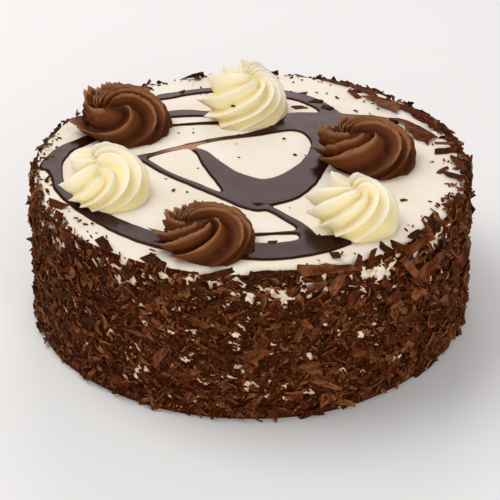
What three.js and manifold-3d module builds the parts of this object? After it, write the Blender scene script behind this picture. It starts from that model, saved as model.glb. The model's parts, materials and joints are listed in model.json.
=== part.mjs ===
// A round marble layer cake, iced all over. Chocolate shavings cover its side, dark
// ganache is drizzled over its top, and six piped rosettes stand near the rim, three of
// chocolate cream and three of vanilla cream.
// Millimetres, +Z up, the origin at the centre of the foot, the cake standing on z = 0.
// Seen from the front the camera looks along +Y, with +X to the right.

import * as THREE from 'three';
import { mergeVertices } from 'three/addons/utils/BufferGeometryUtils.js';
import Module from 'manifold-3d';

const wasm = await Module();
wasm.setup();

// ---------------------------------------------------------------- driving dimensions

const CAKE_HEIGHT = 75;
const FOOT_RADIUS = 106;
const TOP_RADIUS = 103;
const EDGE_ROUND = 4;
const CORE_SEGMENTS = 48;
const CORE_WOBBLE = 0.5;

const DRIZZLE_HEIGHT = 0.8;
const DRIZZLE_ROOT = 1.2;
const DRIZZLE_CLEARANCE = 0.8;

const ROSETTE_GAP = 0.3;
const FLAKE_THICKNESS = 1.2;
const CURLED_SHARE = 0.15;
const LEFT_SHORTENING = 3;
const SIDE_ROWS = 4;
const SIDE_COLUMNS = 41;
const RIM_FLAKES = 34;
const FLAKE_SEED = 20;

const DEGREE = Math.PI / 180;

// Looks of the cake and of the two creams.
const ICING = { color: 0x6b4025, roughness: 0.7, metalness: 0 };
const CHOCOLATE_CREAM = { color: 0x6f4325, roughness: 0.55, metalness: 0 };
const VANILLA_CREAM = { color: 0xf3e3ae, roughness: 0.5, metalness: 0 };

// Where each rosette stands on the top, its outer radius and its height. lean is how much
// its height grows to the right and to the back. The ridges leave the eye, or the seam that
// runs from it, at the angles in ridges, in degrees, and turn clockwise by sweep on their
// way out, sooner or later by power, and less by easing about the slow side. eye and seam
// are shares of the radius. Ridges end in raised tips about the open side, deeper by
// tipDepth. tips holds the tips' heights as shares of the height: at the front and at the
// back.
const ROSETTES = [
  { name: 'rosette_chocolate_back_left', x: -63, y: 34.5, radius: 25, height: 15, lean: [0, 0.35],
    eye: [-0.1, -0.2], seam: [-0.42, 0.15], ridges: [318, 28, 58, 88, 118, 155, 205],
    easing: 0.4, sweep: 130, power: 2.3, slowSide: 20, openSide: 180, tips: [0.3, 0.5],
    tipDepth: 0.35, cream: CHOCOLATE_CREAM },
  { name: 'rosette_vanilla_left', x: -65.5, y: -33.5, radius: 21.5, height: 17.5, lean: [0, 0.3],
    eye: [-0.15, -0.35], seam: [-0.05, 0.6], ridges: [196, 262, 345, 42, 80, 112, 156],
    easing: 0.85, sweep: 140, power: 2, slowSide: 180, openSide: 172, tips: [0.2, 0.65],
    tipDepth: 0.45, cream: VANILLA_CREAM },
  { name: 'rosette_chocolate_front', x: -19, y: -78.5, radius: 23, height: 12.8, lean: [0.05, 0.02],
    eye: [0, -0.12], seam: [-0.48, 0.1], ridges: [230, 265, 325, 62, 84, 112, 145, 185],
    easing: 0.6, sweep: 130, power: 1.7, slowSide: 190, openSide: 180, tips: [0.25, 0.35],
    tipDepth: 0.3, cream: CHOCOLATE_CREAM },
  { name: 'rosette_vanilla_back', x: -2.5, y: 53, radius: 23, height: 18.5, lean: [0.1, 0.25],
    eye: [0.24, 0.1], seam: [-0.12, 0.3], ridges: [100, 124, 148, 174, 240, 300, 345, 15, 48, 76],
    easing: 0.88, sweep: 105, power: 2.3, slowSide: 140, openSide: 140, tips: [0.1, 0.72],
    tipDepth: 0.8, cream: VANILLA_CREAM },
  { name: 'rosette_chocolate_right', x: 56, y: 1, radius: 25.5, height: 15.5, lean: [0, 0.1],
    eye: [0, -0.05], seam: [-0.5, 0.05], ridges: [240, 278, 50, 78, 112, 150, 195],
    easing: 0.7, sweep: 150, power: 1.7, slowSide: 190, openSide: 180, tips: [0.3, 0.5],
    tipDepth: 0.3, cream: CHOCOLATE_CREAM },
  { name: 'rosette_vanilla_front_right', x: 46.5, y: -60, radius: 21, height: 18, lean: [0, 0.1],
    eye: [0.05, 0], seam: [-0.1, 0.12], ridges: [225, 295, 5, 52, 98, 148, 188],
    easing: 0.88, sweep: 145, power: 1.7, slowSide: 175, openSide: 170, tips: [0.2, 0.65],
    tipDepth: 0.8, cream: VANILLA_CREAM },
];
const SEAM_MIDDLE = 130;
const SEAM_REACH = 140;
const CURL = 125;
const CURL_REACH = 0.19;
const RIDGE_DEPTH = 0.19;
const FOOT_RECESS = 0.2;
const EYE_DEPTH = 0.1;

// The columns of a rosette's skin from one ridge to the next: where each stands between
// them, and how high it is on its ridge.
const CHOCOLATE_PROFILE = [[0, 1], [0.38, 0.48], [0.84, 0]];
const VANILLA_PROFILE = [[0, 1], [0.4, 0], [0.72, 0.36]];
// How far out the rings of a rosette's skin are, and how far down its wall the last ones.
const RING_SHARES = [0.1, 0.26, 0.42, 0.56, 0.68, 0.78, 0.87, 0.94, 1];
const WALL_DROPS = [0.5, 1];
const FOOT_SIDES = 30;

// The drizzle's strokes: [x, y, width] along each, in the order they were poured.
const DRIZZLE = [
  [[-80, 21, 8], [-91, 8, 8.5], [-93, -5, 8], [-90, -21, 6], [-86, -33, 6.5], [-70.5, -53, 9],
    [-51, -70.5, 11], [-30, -81, 13], [5, -87, 14.5], [24, -83.5, 14], [35, -79, 12], [42, -79, 4]],
  [[-92, 3, 6], [-97, -5, 6], [-98, -10, 3]],
  [[-52, 0, 3.5], [-39, -15, 4], [-20, -31, 4.2], [0, -48, 4.2], [8, -49, 4], [15, -56, 4.6],
    [23.5, -67, 5.5], [26, -79, 8]],
  [[0, -72.5, 2.5], [13, -71, 2.5], [22, -70, 2.5]],
  [[-53, 1, 4], [-36, 11.5, 4], [-18.5, 20.5, 3.5], [0, 26.5, 5], [14, 33, 8], [22, 39, 12]],
  [[-28.5, 12.5, 3], [-23, 5, 6.5], [-18, -6, 10], [-10.5, -19, 14], [0, -31, 23], [10, -32.5, 25],
    [20, -24.5, 20], [29.5, -8, 14], [34.5, 8, 12], [36, 20, 14], [33, 33, 18], [24, 41, 17]],
  [[15, 42, 15], [30, 42, 19], [45, 40, 20], [60, 39.5, 17], [72, 40, 6]],
  [[-46, 70, 7], [-31.5, 76, 6], [-15, 80, 6], [5, 78.5, 8], [22, 72, 9], [33.5, 63, 9], [41, 52, 8]],
  [[-44, 48, 8], [-32.5, 50.5, 8], [-18, 49, 6], [-5, 46, 5]],
  [[-40, 36.5, 2.5], [-29.5, 38.5, 2.5], [-15, 39.5, 3.5], [-8, 38, 2]],
];
const STROKE_STEP = 9;

// Long shavings that lie along the rim: the angle round the cake and the radius of their
// middle, their length and width, and how far they are turned from the rim's direction.
const RIM_SHAVINGS = [
  { angle: -82, radius: 100.5, length: 36, width: 6, turn: 3 },
  { angle: -64, radius: 101, length: 30, width: 6, turn: -4 },
  { angle: -108, radius: 101.5, length: 19, width: 5, turn: 8 },
  { angle: -121, radius: 101, length: 16, width: 5, turn: -18 },
  { angle: -44, radius: 99, length: 18, width: 6, turn: 24 },
  { angle: 57, radius: 98, length: 32, width: 8, turn: 4 },
  { angle: 46, radius: 99, length: 30, width: 9, turn: -5 },
  { angle: 27, radius: 96, length: 26, width: 10, turn: -20 },
  { angle: 10, radius: 99.5, length: 14, width: 4, turn: 80 },
  { angle: 108, radius: 99, length: 12, width: 5, turn: 20 },
];

// ---------------------------------------------------------------- small helpers

/** A seeded draw: each call gives the next number between the two bounds. */
function seededDraw(seed) {
  let state = seed;
  return (low, high) => {
    state = (state + 0x6d2b79f5) | 0;
    let mixed = Math.imul(state ^ (state >>> 15), 1 | state);
    mixed = (mixed + Math.imul(mixed ^ (mixed >>> 7), 61 | mixed)) ^ mixed;
    const share = ((mixed ^ (mixed >>> 14)) >>> 0) / 4294967296;
    return low + (high - low) * share;
  };
}

/** 0 below low, 1 above high, and a smooth rise between them. */
function smoothRise(low, high, value) {
  return THREE.MathUtils.smoothstep(value, low, high);
}

/** Make a closed geometry into a solid with its faces pointing out. */
function toSolid(geometry) {
  geometry.deleteAttribute('normal');
  geometry.deleteAttribute('uv');
  const merged = mergeVertices(geometry, 1e-4);
  const indices = [];
  for (let i = 0; i < merged.index.count; i += 3) {
    const corners = [0, 1, 2].map((k) => merged.index.getX(i + k));
    if (new Set(corners).size === 3) {
      indices.push(...corners);
    }
  }
  return new wasm.Manifold(new wasm.Mesh({
    numProp: 3,
    vertProperties: new Float32Array(merged.attributes.position.array),
    triVerts: new Uint32Array(indices),
  }));
}

/** The geometry of a solid, for a mesh. */
function toGeometry(solid) {
  const mesh = solid.getMesh();
  const geometry = new THREE.BufferGeometry();
  geometry.setAttribute('position', new THREE.BufferAttribute(mesh.vertProperties, 3));
  geometry.setIndex(new THREE.BufferAttribute(mesh.triVerts, 1));
  geometry.computeVertexNormals();
  return geometry;
}

/** Keep the largest body, with any hollow that the joining sealed filled. */
function largestBody(solid) {
  const bodies = solid.decompose();
  return bodies.reduce((best, body) => (body.volume() > best.volume() ? body : best));
}

/** A prism of the outline [[x, y], ...] from the height low up to high. */
function prism(outline, low, high) {
  const shape = new THREE.Shape(outline.map(([x, y]) => new THREE.Vector2(x, y)));
  const geometry = new THREE.ExtrudeGeometry(shape, { depth: high - low, bevelEnabled: false });
  geometry.translate(0, 0, low);
  return toSolid(geometry);
}

// ---------------------------------------------------------------- rosettes

/** The columns of a rosette's skin: the angle each leaves the seam at, and its height on its ridge. */
function rosetteColumns({ ridges, cream }) {
  const profile = cream === CHOCOLATE_CREAM ? CHOCOLATE_PROFILE : VANILLA_PROFILE;
  const edges = [...ridges].sort((first, second) => first - second);
  return edges.flatMap((edge, i) => {
    const width = (edges[i + 1] ?? edges[0] + 360) - edge;
    const depth = Math.min(1, width / 32);
    return profile.map(([place, ridge]) => (
      { start: (edge + width * place) * DEGREE, ridge: 1 - (1 - ridge) * depth }));
  });
}

/**
 * The angle about the eye that a column has reached at a share of the way out: a steady
 * turn, slowed about the slow side, and a curl round the eye.
 */
function sweptAngle({ easing, sweep, power, slowSide }, start, share) {
  const pace = Math.sqrt(1 - easing);
  const half = (start - slowSide * DEGREE) / 2;
  const full = sweep * DEGREE * Math.pow(share, power);
  const even = Math.atan2(Math.sin(half), pace * Math.cos(half)) - (pace * full) / 2;
  const angle = 2 * Math.atan2(pace * Math.sin(even), Math.cos(even)) + slowSide * DEGREE;
  return angle + CURL * DEGREE * Math.exp(-share / CURL_REACH);
}

/**
 * A point of a rosette's skin. share runs from 0 at the eye to 1 at the outline, and drop
 * from 0 at the top of the open side's wall to 1 at its foot.
 */
function rosettePoint(rosette, { start, ridge }, share, drop) {
  const { radius, height, lean, tips, openSide, tipDepth } = rosette;
  const angle = sweptAngle(rosette, start, share);
  const away = THREE.MathUtils.euclideanModulo(start / DEGREE - SEAM_MIDDLE + 180, 360) - 180;
  const seam = Math.max(0, 1 - (away / SEAM_REACH) ** 2) * Math.pow(1 - share, 1.3);
  const eyeX = rosette.eye[0] + rosette.seam[0] * seam;
  const eyeY = rosette.eye[1] + rosette.seam[1] * seam;
  const along = eyeX * Math.cos(angle) + eyeY * Math.sin(angle);
  const span = Math.sqrt(along * along + 1 - eyeX * eyeX - eyeY * eyeY) - along;
  const x = eyeX + share * span * Math.cos(angle);
  const y = eyeY + share * span * Math.sin(angle);
  const out = Math.min(Math.hypot(x, y), 1);
  const around = Math.atan2(y, x);
  const facing = THREE.MathUtils.euclideanModulo(around - openSide * DEGREE, 2 * Math.PI) / Math.PI - 1;
  const open = smoothRise(0.3, 0.72, Math.abs(facing));
  const backness = 0.5 + 0.5 * Math.sin(around);
  const tipHeight = height * open * (tips[0] + (tips[1] - tips[0]) * backness);
  const dome = Math.pow(1 - Math.pow(out, 2.4), 0.6 + 0.25 * open);
  const tilt = (Math.PI / 2) * (1 - Math.pow(out, 1.5)) + 0.35 * open * out;
  const closed = 0.5 + 0.5 * Math.cos(angle + 0.35);
  const lifted = smoothRise(0.02, 0.25, share) * (1 - smoothRise(0, 0.6, drop))
    * (1 - 0.75 * closed * smoothRise(0.78, 1, share));
  const deeper = 1 + tipDepth * open * smoothRise(0.45, 1, share);
  const push = RIDGE_DEPTH * radius * lifted * (ridge - 0.6) * deeper;
  const recess = 1 - FOOT_RECESS * open * smoothRise(0, 0.5, drop);
  const reach = radius * 0.94 * out * recess + push * Math.cos(tilt);
  const shell = (tipHeight * (1 - drop) + (height - tipHeight) * dome) * (1 + lean[0] * x + lean[1] * y);
  const hollow = EYE_DEPTH * height * Math.exp(-((share / 0.28) ** 2)) * (1 - drop);
  const least = 0.2 + 0.3 * (1 - share) + 0.2 * (1 - drop);
  const rise = drop < 1 ? Math.max(shell - hollow + push * Math.sin(tilt), least) : 0;
  return new THREE.Vector3(reach * Math.cos(around), reach * Math.sin(around), rise);
}

/** The rings of a rosette's skin, from round its eye to its foot. */
function rosetteRings(rosette) {
  const columns = rosetteColumns(rosette);
  const rings = [...RING_SHARES.map((share) => [share, 0]), ...WALL_DROPS.map((drop) => [1, drop])];
  return rings.map(([share, drop]) => columns.map((column) => rosettePoint(rosette, column, share, drop)));
}

/** A piped rosette as a closed skin on a flat base, its foot's centre at the origin. */
function rosetteGeometry(rosette) {
  const rings = rosetteRings(rosette);
  const count = rings[0].length;
  const eye = new THREE.Vector3();
  rings[0].forEach((point) => eye.addScaledVector(point, 1 / count));
  const points = [eye, ...rings.flat(), new THREE.Vector3(0, 0, 0)];
  const last = points.length - 1;
  const triangles = [];
  for (let i = 0; i < count; i += 1) {
    const next = (i + 1) % count;
    triangles.push(0, 1 + i, 1 + next);
    triangles.push(last, last - count + next, last - count + i);
    for (let ring = 0; ring < rings.length - 1; ring += 1) {
      const inner = 1 + ring * count;
      const outer = inner + count;
      triangles.push(inner + i, outer + i, outer + next);
      triangles.push(inner + i, outer + next, inner + next);
    }
  }
  const geometry = new THREE.BufferGeometry().setFromPoints(points);
  geometry.setIndex(triangles);
  geometry.computeVertexNormals();
  return geometry;
}

/** The outline of a rosette's lowest part on the cake's top, widened by the margin. */
function rosetteFoot(rosette, margin) {
  const sides = rosetteRings(rosette).flatMap((ring) => ring.flatMap((point, i) => (
    [0, 0.25, 0.5, 0.75].map((share) => point.clone().lerp(ring[(i + 1) % ring.length], share)))));
  const low = sides.filter((point) => point.z < 2 * DRIZZLE_HEIGHT);
  const step = (2 * Math.PI) / FOOT_SIDES;
  return Array.from({ length: FOOT_SIDES }, (_, side) => {
    const direction = new THREE.Vector3(Math.cos(side * step), Math.sin(side * step), 0);
    const near = low.filter((point) => Math.atan2(
      direction.x * point.y - direction.y * point.x, direction.dot(point)) ** 2 < (1.2 * step) ** 2);
    const reach = Math.max(...near.map((point) => Math.hypot(point.x, point.y))) + margin;
    return [rosette.x + reach * direction.x, rosette.y + reach * direction.y];
  });
}

// ---------------------------------------------------------------- the iced cake

/** How far the icing's side swells or sinks at an angle round the cake. */
function sideWobble(angle) {
  const small = 0.6 * Math.sin(5 * angle + 2) + 0.4 * Math.sin(9 * angle);
  return CORE_WOBBLE * (Math.sin(2 * angle + 0.7) + small);
}

/** The radius of the icing's side at a height. */
function sideRadius(height) {
  return FOOT_RADIUS + (TOP_RADIUS - FOOT_RADIUS) * (height / CAKE_HEIGHT);
}

/** The iced cake without its shavings and drizzle. */
function icedCake() {
  const profile = [new THREE.Vector2(0, 0)];
  const shoulder = CAKE_HEIGHT - EDGE_ROUND;
  profile.push(new THREE.Vector2(sideRadius(0), 0));
  for (let step = 0; step <= 2; step += 1) {
    const turn = (step / 2) * (Math.PI / 2);
    const reach = sideRadius(shoulder) - EDGE_ROUND * (1 - Math.cos(turn));
    profile.push(new THREE.Vector2(reach, shoulder + EDGE_ROUND * Math.sin(turn)));
  }
  profile.push(new THREE.Vector2(0, CAKE_HEIGHT));
  const geometry = new THREE.LatheGeometry(profile, CORE_SEGMENTS);
  geometry.rotateX(Math.PI / 2);
  const position = geometry.attributes.position;
  for (let i = 0; i < position.count; i += 1) {
    const reach = Math.hypot(position.getX(i), position.getY(i));
    const angle = Math.atan2(position.getY(i), position.getX(i));
    const scale = reach > 1 ? (reach + sideWobble(angle)) / reach : 1;
    position.setXY(i, position.getX(i) * scale, position.getY(i) * scale);
  }
  return toSolid(geometry);
}

/** The outline of one drizzle stroke, with round ends. */
function strokeOutline(stroke) {
  const route = new THREE.CatmullRomCurve3(stroke.map(([x, y, width]) => new THREE.Vector3(x, y, width)));
  const steps = Math.max(3, Math.round(route.getLength() / STROKE_STEP));
  const left = [];
  const right = [];
  for (let step = 0; step <= steps; step += 1) {
    const { x, y, z: width } = route.getPoint(step / steps);
    const along = route.getTangent(step / steps);
    const scale = width / 2 / Math.hypot(along.x, along.y);
    left.push([x - along.y * scale, y + along.x * scale]);
    right.unshift([x + along.y * scale, y - along.x * scale]);
  }
  const ends = [0, 1].map((place) => {
    const { x, y, z: width } = route.getPoint(place);
    const along = route.getTangent(place);
    const reach = ((place - 0.5) * width * 0.8) / Math.hypot(along.x, along.y);
    return [x + along.x * reach, y + along.y * reach];
  });
  return [ends[0], ...left, ends[1], ...right];
}

/** The ganache on the top, cut back round each rosette's foot. */
function drizzle() {
  const low = CAKE_HEIGHT - DRIZZLE_ROOT;
  const high = CAKE_HEIGHT + DRIZZLE_HEIGHT;
  let solid = prism(strokeOutline(DRIZZLE[0]), low, high);
  for (const stroke of DRIZZLE.slice(1)) {
    solid = solid.add(prism(strokeOutline(stroke), low, high));
  }
  for (const rosette of ROSETTES) {
    solid = solid.subtract(prism(rosetteFoot(rosette, DRIZZLE_CLEARANCE), CAKE_HEIGHT, high + 1));
  }
  return solid;
}

// ---------------------------------------------------------------- chocolate shavings

/**
 * One shaving: a thin curled plate, ragged at its ends. bow is how far its middle stands
 * above its ends, and taper how much its far end narrows.
 */
function shavingGeometry({ length, width, bow, taper, skew }) {
  const geometry = new THREE.BoxGeometry(length, width, FLAKE_THICKNESS, bow ? 2 : 1, 1, 1);
  const position = geometry.attributes.position;
  for (let i = 0; i < position.count; i += 1) {
    const along = (2 * position.getX(i)) / length;
    const across = (2 * position.getY(i)) / width;
    const narrow = 1 - taper * smoothRise(-0.2, 1, along);
    position.setX(i, position.getX(i) + skew * across * width * 0.5);
    position.setY(i, position.getY(i) * narrow);
    position.setZ(i, position.getZ(i) + bow * (1 - along * along) - bow * 0.4);
  }
  return geometry;
}

/** The frame on the cake's side or rounded edge: where a shaving sits and which way is out. */
function sideFrame(angle, height) {
  const lean = smoothRise(CAKE_HEIGHT - 2 * EDGE_ROUND, CAKE_HEIGHT, height) * 50 * DEGREE;
  const reach = sideRadius(height) + sideWobble(angle) - 2 * (lean / DEGREE / 50);
  const level = Math.cos(lean);
  const out = new THREE.Vector3(Math.cos(angle) * level, Math.sin(angle) * level, Math.sin(lean));
  const along = new THREE.Vector3(-Math.sin(angle), Math.cos(angle), 0);
  const up = new THREE.Vector3().crossVectors(out, along);
  const frame = new THREE.Matrix4().makeBasis(along, up, out);
  return frame.setPosition(reach * Math.cos(angle), reach * Math.sin(angle), height);
}

/** Whether a placed shaving keeps clear of every rosette and of the ground. */
function staysClear(geometry) {
  geometry.computeBoundingBox();
  const box = geometry.boundingBox;
  if (box.min.z < 0.05) {
    return false;
  }
  if (box.max.z < CAKE_HEIGHT - 0.5) {
    return true;
  }
  const middle = box.getCenter(new THREE.Vector3());
  const spread = Math.hypot(box.max.x - box.min.x, box.max.y - box.min.y) / 2;
  const gap = spread * 0.8 + 1;
  return ROSETTES.every(({ x, y, radius }) => Math.hypot(middle.x - x, middle.y - y) > radius + gap);
}

/** The largest shavings on the side, in staggered rows, each drawn a little off its place. */
function sideShavings(draw) {
  const shavings = [];
  const rowHeight = (CAKE_HEIGHT - 2 * EDGE_ROUND) / SIDE_ROWS;
  for (let row = 0; row < SIDE_ROWS; row += 1) {
    for (let column = 0; column < SIDE_COLUMNS; column += 1) {
      const place = column + 0.5 * (row % 2) + draw(-0.4, 0.4);
      const angle = (2 * Math.PI * place) / SIDE_COLUMNS;
      const height = EDGE_ROUND / 2 + rowHeight * (row + 0.5 + draw(-0.35, 0.35));
      const curled = draw(0, 1) < CURLED_SHARE;
      const length = draw(11, 19) - LEFT_SHORTENING * smoothRise(-0.2, 0.8, -Math.cos(angle));
      const geometry = shavingGeometry({
        length,
        width: draw(4, 7.5),
        bow: curled ? length * draw(0.05, 0.14) : 0,
        taper: draw(0, 0.7),
        skew: draw(-0.6, 0.6),
      });
      geometry.rotateX(draw(-38, 38) * DEGREE);
      geometry.rotateY(draw(-9, 9) * DEGREE);
      geometry.rotateZ(draw(-55, 55) * DEGREE);
      geometry.translate(0, 0, draw(0, 0.9));
      geometry.applyMatrix4(sideFrame(angle, height));
      shavings.push(geometry);
    }
  }
  return shavings;
}

/** Shavings that stand up round the top edge. */
function rimShavings(draw) {
  const shavings = [];
  for (let i = 0; i < RIM_FLAKES; i += 1) {
    const angle = 2 * Math.PI * ((i + draw(-0.3, 0.3)) / RIM_FLAKES);
    const geometry = shavingGeometry({
      length: draw(8, 14),
      width: draw(3, 6),
      bow: 0,
      taper: draw(0, 0.7),
      skew: draw(-0.6, 0.6),
    });
    geometry.rotateX(draw(-50, 50) * DEGREE);
    geometry.rotateZ(draw(0, 180) * DEGREE);
    geometry.translate(0, 0, draw(0.2, 1));
    geometry.applyMatrix4(sideFrame(angle, CAKE_HEIGHT - draw(1, 4)));
    shavings.push(geometry);
  }
  return shavings;
}

/** The long shavings that lie on the top along the rim. */
function longShavings(draw) {
  return RIM_SHAVINGS.map(({ angle, radius, length, width, turn }) => {
    const bow = length * 0.05;
    const geometry = shavingGeometry({ length, width, bow, taper: 0.3, skew: draw(-0.3, 0.3) });
    geometry.rotateX(draw(8, 20) * DEGREE);
    geometry.rotateZ((90 + turn + angle) * DEGREE);
    const placed = angle * DEGREE;
    geometry.translate(radius * Math.cos(placed), radius * Math.sin(placed), CAKE_HEIGHT + 0.5);
    return geometry;
  });
}

/** The whole cake under the rosettes: icing, drizzle and shavings in one body. */
function cakeGeometry() {
  const draw = seededDraw(FLAKE_SEED);
  let solid = icedCake().add(drizzle());
  const shavings = [...longShavings(draw), ...rimShavings(draw), ...sideShavings(draw)];
  for (const shaving of shavings.filter(staysClear)) {
    solid = solid.add(toSolid(shaving));
  }
  return toGeometry(largestBody(solid));
}

// ---------------------------------------------------------------- the scene graph

const cake = new THREE.Group();
const body = new THREE.Mesh(cakeGeometry(), new THREE.MeshStandardMaterial(ICING));
body.name = 'cake';
cake.add(body);

for (const rosette of ROSETTES) {
  const mesh = new THREE.Mesh(rosetteGeometry(rosette), new THREE.MeshStandardMaterial(rosette.cream));
  mesh.name = rosette.name;
  mesh.position.set(rosette.x, rosette.y, CAKE_HEIGHT + ROSETTE_GAP);
  cake.add(mesh);
}

export default cake;
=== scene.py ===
"""The looks of a round marble cake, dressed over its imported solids.

The cake is iced all over and stands on its flat foot. Chocolate shavings coat its side,
dark ganache is drizzled over its top, and six rosettes of chocolate and vanilla cream
are piped near the rim. Lengths are in millimetres, apart from those of the lamps, and turn
into metres as a mesh is made. Angles are in degrees where nothing says radians.
"""

import itertools
import json
import logging
import math
from collections.abc import Sequence
from dataclasses import dataclass
from enum import Enum

import bpy
import numpy as np
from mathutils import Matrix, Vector
from mathutils.bvhtree import BVHTree

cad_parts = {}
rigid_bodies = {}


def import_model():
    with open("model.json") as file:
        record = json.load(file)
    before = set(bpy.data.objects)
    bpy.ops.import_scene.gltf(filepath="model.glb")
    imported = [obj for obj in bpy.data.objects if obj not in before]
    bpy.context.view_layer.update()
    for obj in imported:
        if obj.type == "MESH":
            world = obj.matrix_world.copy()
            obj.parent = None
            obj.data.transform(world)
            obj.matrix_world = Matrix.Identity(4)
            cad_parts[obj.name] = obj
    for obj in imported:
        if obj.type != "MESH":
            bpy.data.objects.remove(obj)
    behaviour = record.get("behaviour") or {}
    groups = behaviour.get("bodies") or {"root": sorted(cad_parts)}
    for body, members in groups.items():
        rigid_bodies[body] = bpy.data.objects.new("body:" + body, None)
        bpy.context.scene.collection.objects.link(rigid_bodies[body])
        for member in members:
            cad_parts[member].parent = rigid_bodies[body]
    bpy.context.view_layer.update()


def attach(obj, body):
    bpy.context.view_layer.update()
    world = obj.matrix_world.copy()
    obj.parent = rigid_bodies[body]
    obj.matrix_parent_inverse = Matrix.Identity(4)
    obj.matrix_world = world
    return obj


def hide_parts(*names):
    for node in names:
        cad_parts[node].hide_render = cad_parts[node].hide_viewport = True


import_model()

LOG = logging.getLogger("cake")
MM = 0.001
BODY = "root"

Array = np.ndarray
Color = tuple[float, float, float]
Place = tuple[float, float, float]
Face = tuple[int, ...]
Inputs = dict[str | int, object]
Piece = bpy.types.Object
Material = bpy.types.Material
Node = bpy.types.Node
Socket = bpy.types.NodeSocket
Tree = bpy.types.NodeTree

NOISE_STEPS = np.array([374761393, 668265263, 1442695041])
NOISE_SEED_STEP = 1274126177
NOISE_STIR = 1103515245
NOISE_SHIFT = 12345
LOW_BITS = 0xFFFFFFFF
SHORT_BITS = 0xFFFF


# --- numbers and noise ---


def smooth_rise(low: float, high: float, value: Array | float) -> Array:
    """A smooth step.

    Args:
        low: where the rise starts.
        high: where it ends.
        value: the places to read it at.

    Returns:
        0 before low, 1 past high and a smooth rise between them.
    """
    share = np.clip((value - low) / (high - low), 0.0, 1.0)
    return share * share * (3.0 - 2.0 * share)


def value_noise(places: Array, cell: float, seed: int) -> Array:
    """Smooth seeded noise in space.

    Args:
        places: points, one row each.
        cell: the size of one bump, in the points' unit.
        seed: which noise of many.

    Returns:
        One number from -1 to 1 for each point.
    """
    grid = places / cell
    base = np.floor(grid).astype(np.int64)
    part = grid - base
    part = part * part * (3.0 - 2.0 * part)
    total = np.zeros(len(places))
    for corner in itertools.product((0, 1), repeat=3):
        mixed = (base + np.array(corner)) @ NOISE_STEPS + seed * NOISE_SEED_STEP
        mixed = (mixed ^ (mixed >> 13)) & LOW_BITS
        mixed = (mixed * NOISE_STIR + NOISE_SHIFT) & LOW_BITS
        mixed = ((mixed ^ (mixed >> 15)) * NOISE_STEPS[1]) & LOW_BITS
        weight = np.prod(np.where(np.array(corner) == 1, part, 1.0 - part), axis=1)
        total += weight * ((mixed >> 8) & SHORT_BITS) / SHORT_BITS
    return total * 2.0 - 1.0


def level_noise(x: Array, y: Array, cell: float, seed: int) -> Array:
    """Noise at places on the level, in their own array's shape."""
    places = np.stack([x, y, np.zeros_like(x)], axis=-1).reshape(-1, 3)
    return value_noise(places, cell, seed).reshape(np.shape(x))


def all_round(count: int) -> Array:
    """Evenly spaced angles in radians, once round."""
    return np.linspace(0.0, 2 * math.pi, count, endpoint=False)


def polar_places(angle: Array, reach: Array | float, rise: Array | float) -> Array:
    """Points from an angle in radians, a distance from the axis and a height."""
    return np.stack(np.broadcast_arrays(reach * np.cos(angle), reach * np.sin(angle), rise), axis=-1)


def turned(first: Array, second: Array, angle: Array | float) -> tuple[Array, Array]:
    """Two coordinates after a turn in their plane, from the first towards the second."""
    turn = np.radians(angle)
    return first * np.cos(turn) - second * np.sin(turn), first * np.sin(turn) + second * np.cos(turn)


def catmull_rom(route: Array, steps: int) -> Array:
    """A smooth route through the given points.

    Args:
        route: the points, one row each.
        steps: how many samples each stretch between two points gets.

    Returns:
        The samples, one row each, with the last point at the end.
    """
    padded = np.vstack([2 * route[0] - route[1], route, 2 * route[-1] - route[-2]])
    share = (np.arange(steps) / steps)[:, None]
    samples = []
    for before, start, end, after in zip(padded, padded[1:], padded[2:], padded[3:]):
        bend = 2 * before - 5 * start + 4 * end - after
        curl = 3 * start - 3 * end + after - before
        samples.append(0.5 * (2 * start + (end - before) * share + bend * share**2 + curl * share**3))
    return np.vstack([*samples, route[-1:]])


# --- mesh making ---


def add_object(name: str, data: bpy.types.ID) -> Piece:
    """Make an object of a mesh, camera or lamp and link it to the scene."""
    added = bpy.data.objects.new(name, data)
    bpy.context.scene.collection.objects.link(added)
    return added


def new_piece(name: str, places: Array, faces: Sequence[Sequence[int]], smooth: bool = True) -> Piece:
    """Make a mesh object with its place in its mesh.

    Args:
        name: the piece's name.
        places: its points, in millimetres.
        faces: the point numbers of each face.
        smooth: whether its faces are shaded smooth.

    Returns:
        The new object, linked to the scene.
    """
    mesh = bpy.data.meshes.new(name)
    mesh.from_pydata((np.asarray(places) * MM).tolist(), [], list(faces))
    mesh.polygons.foreach_set("use_smooth", np.full(len(mesh.polygons), smooth))
    mesh.validate()
    mesh.update()
    return add_object(name, mesh)


def store(piece: Piece, domain: str = "POINT", **values: Array | Sequence[float]) -> None:
    """Keep numbers on a piece, which its finish and the strewing read.

    Args:
        piece: the piece.
        domain: what each number belongs to, a point or a face.
        values: the numbers under each name.
    """
    for name, numbers in values.items():
        attribute = piece.data.attributes.new(name, "FLOAT", domain)
        attribute.data.foreach_set("value", np.asarray(numbers, dtype=np.float32))


def ring_faces(rings: int, around: int, first: int = 0) -> list[Face]:
    """The four-sided faces between closed rings of points that run anticlockwise going outwards.

    Args:
        rings: how many rings there are.
        around: how many points each ring has.
        first: the number of the first point.

    Returns:
        The faces, with their fronts away from the centre.
    """
    ring = first + np.arange(rings - 1)[:, None] * around
    spot = np.arange(around)[None, :]
    following = (spot + 1) % around
    quads = np.stack([ring + spot, ring + around + spot, ring + around + following, ring + following], -1)
    return [tuple(quad) for quad in quads.reshape(-1, 4).tolist()]


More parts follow.
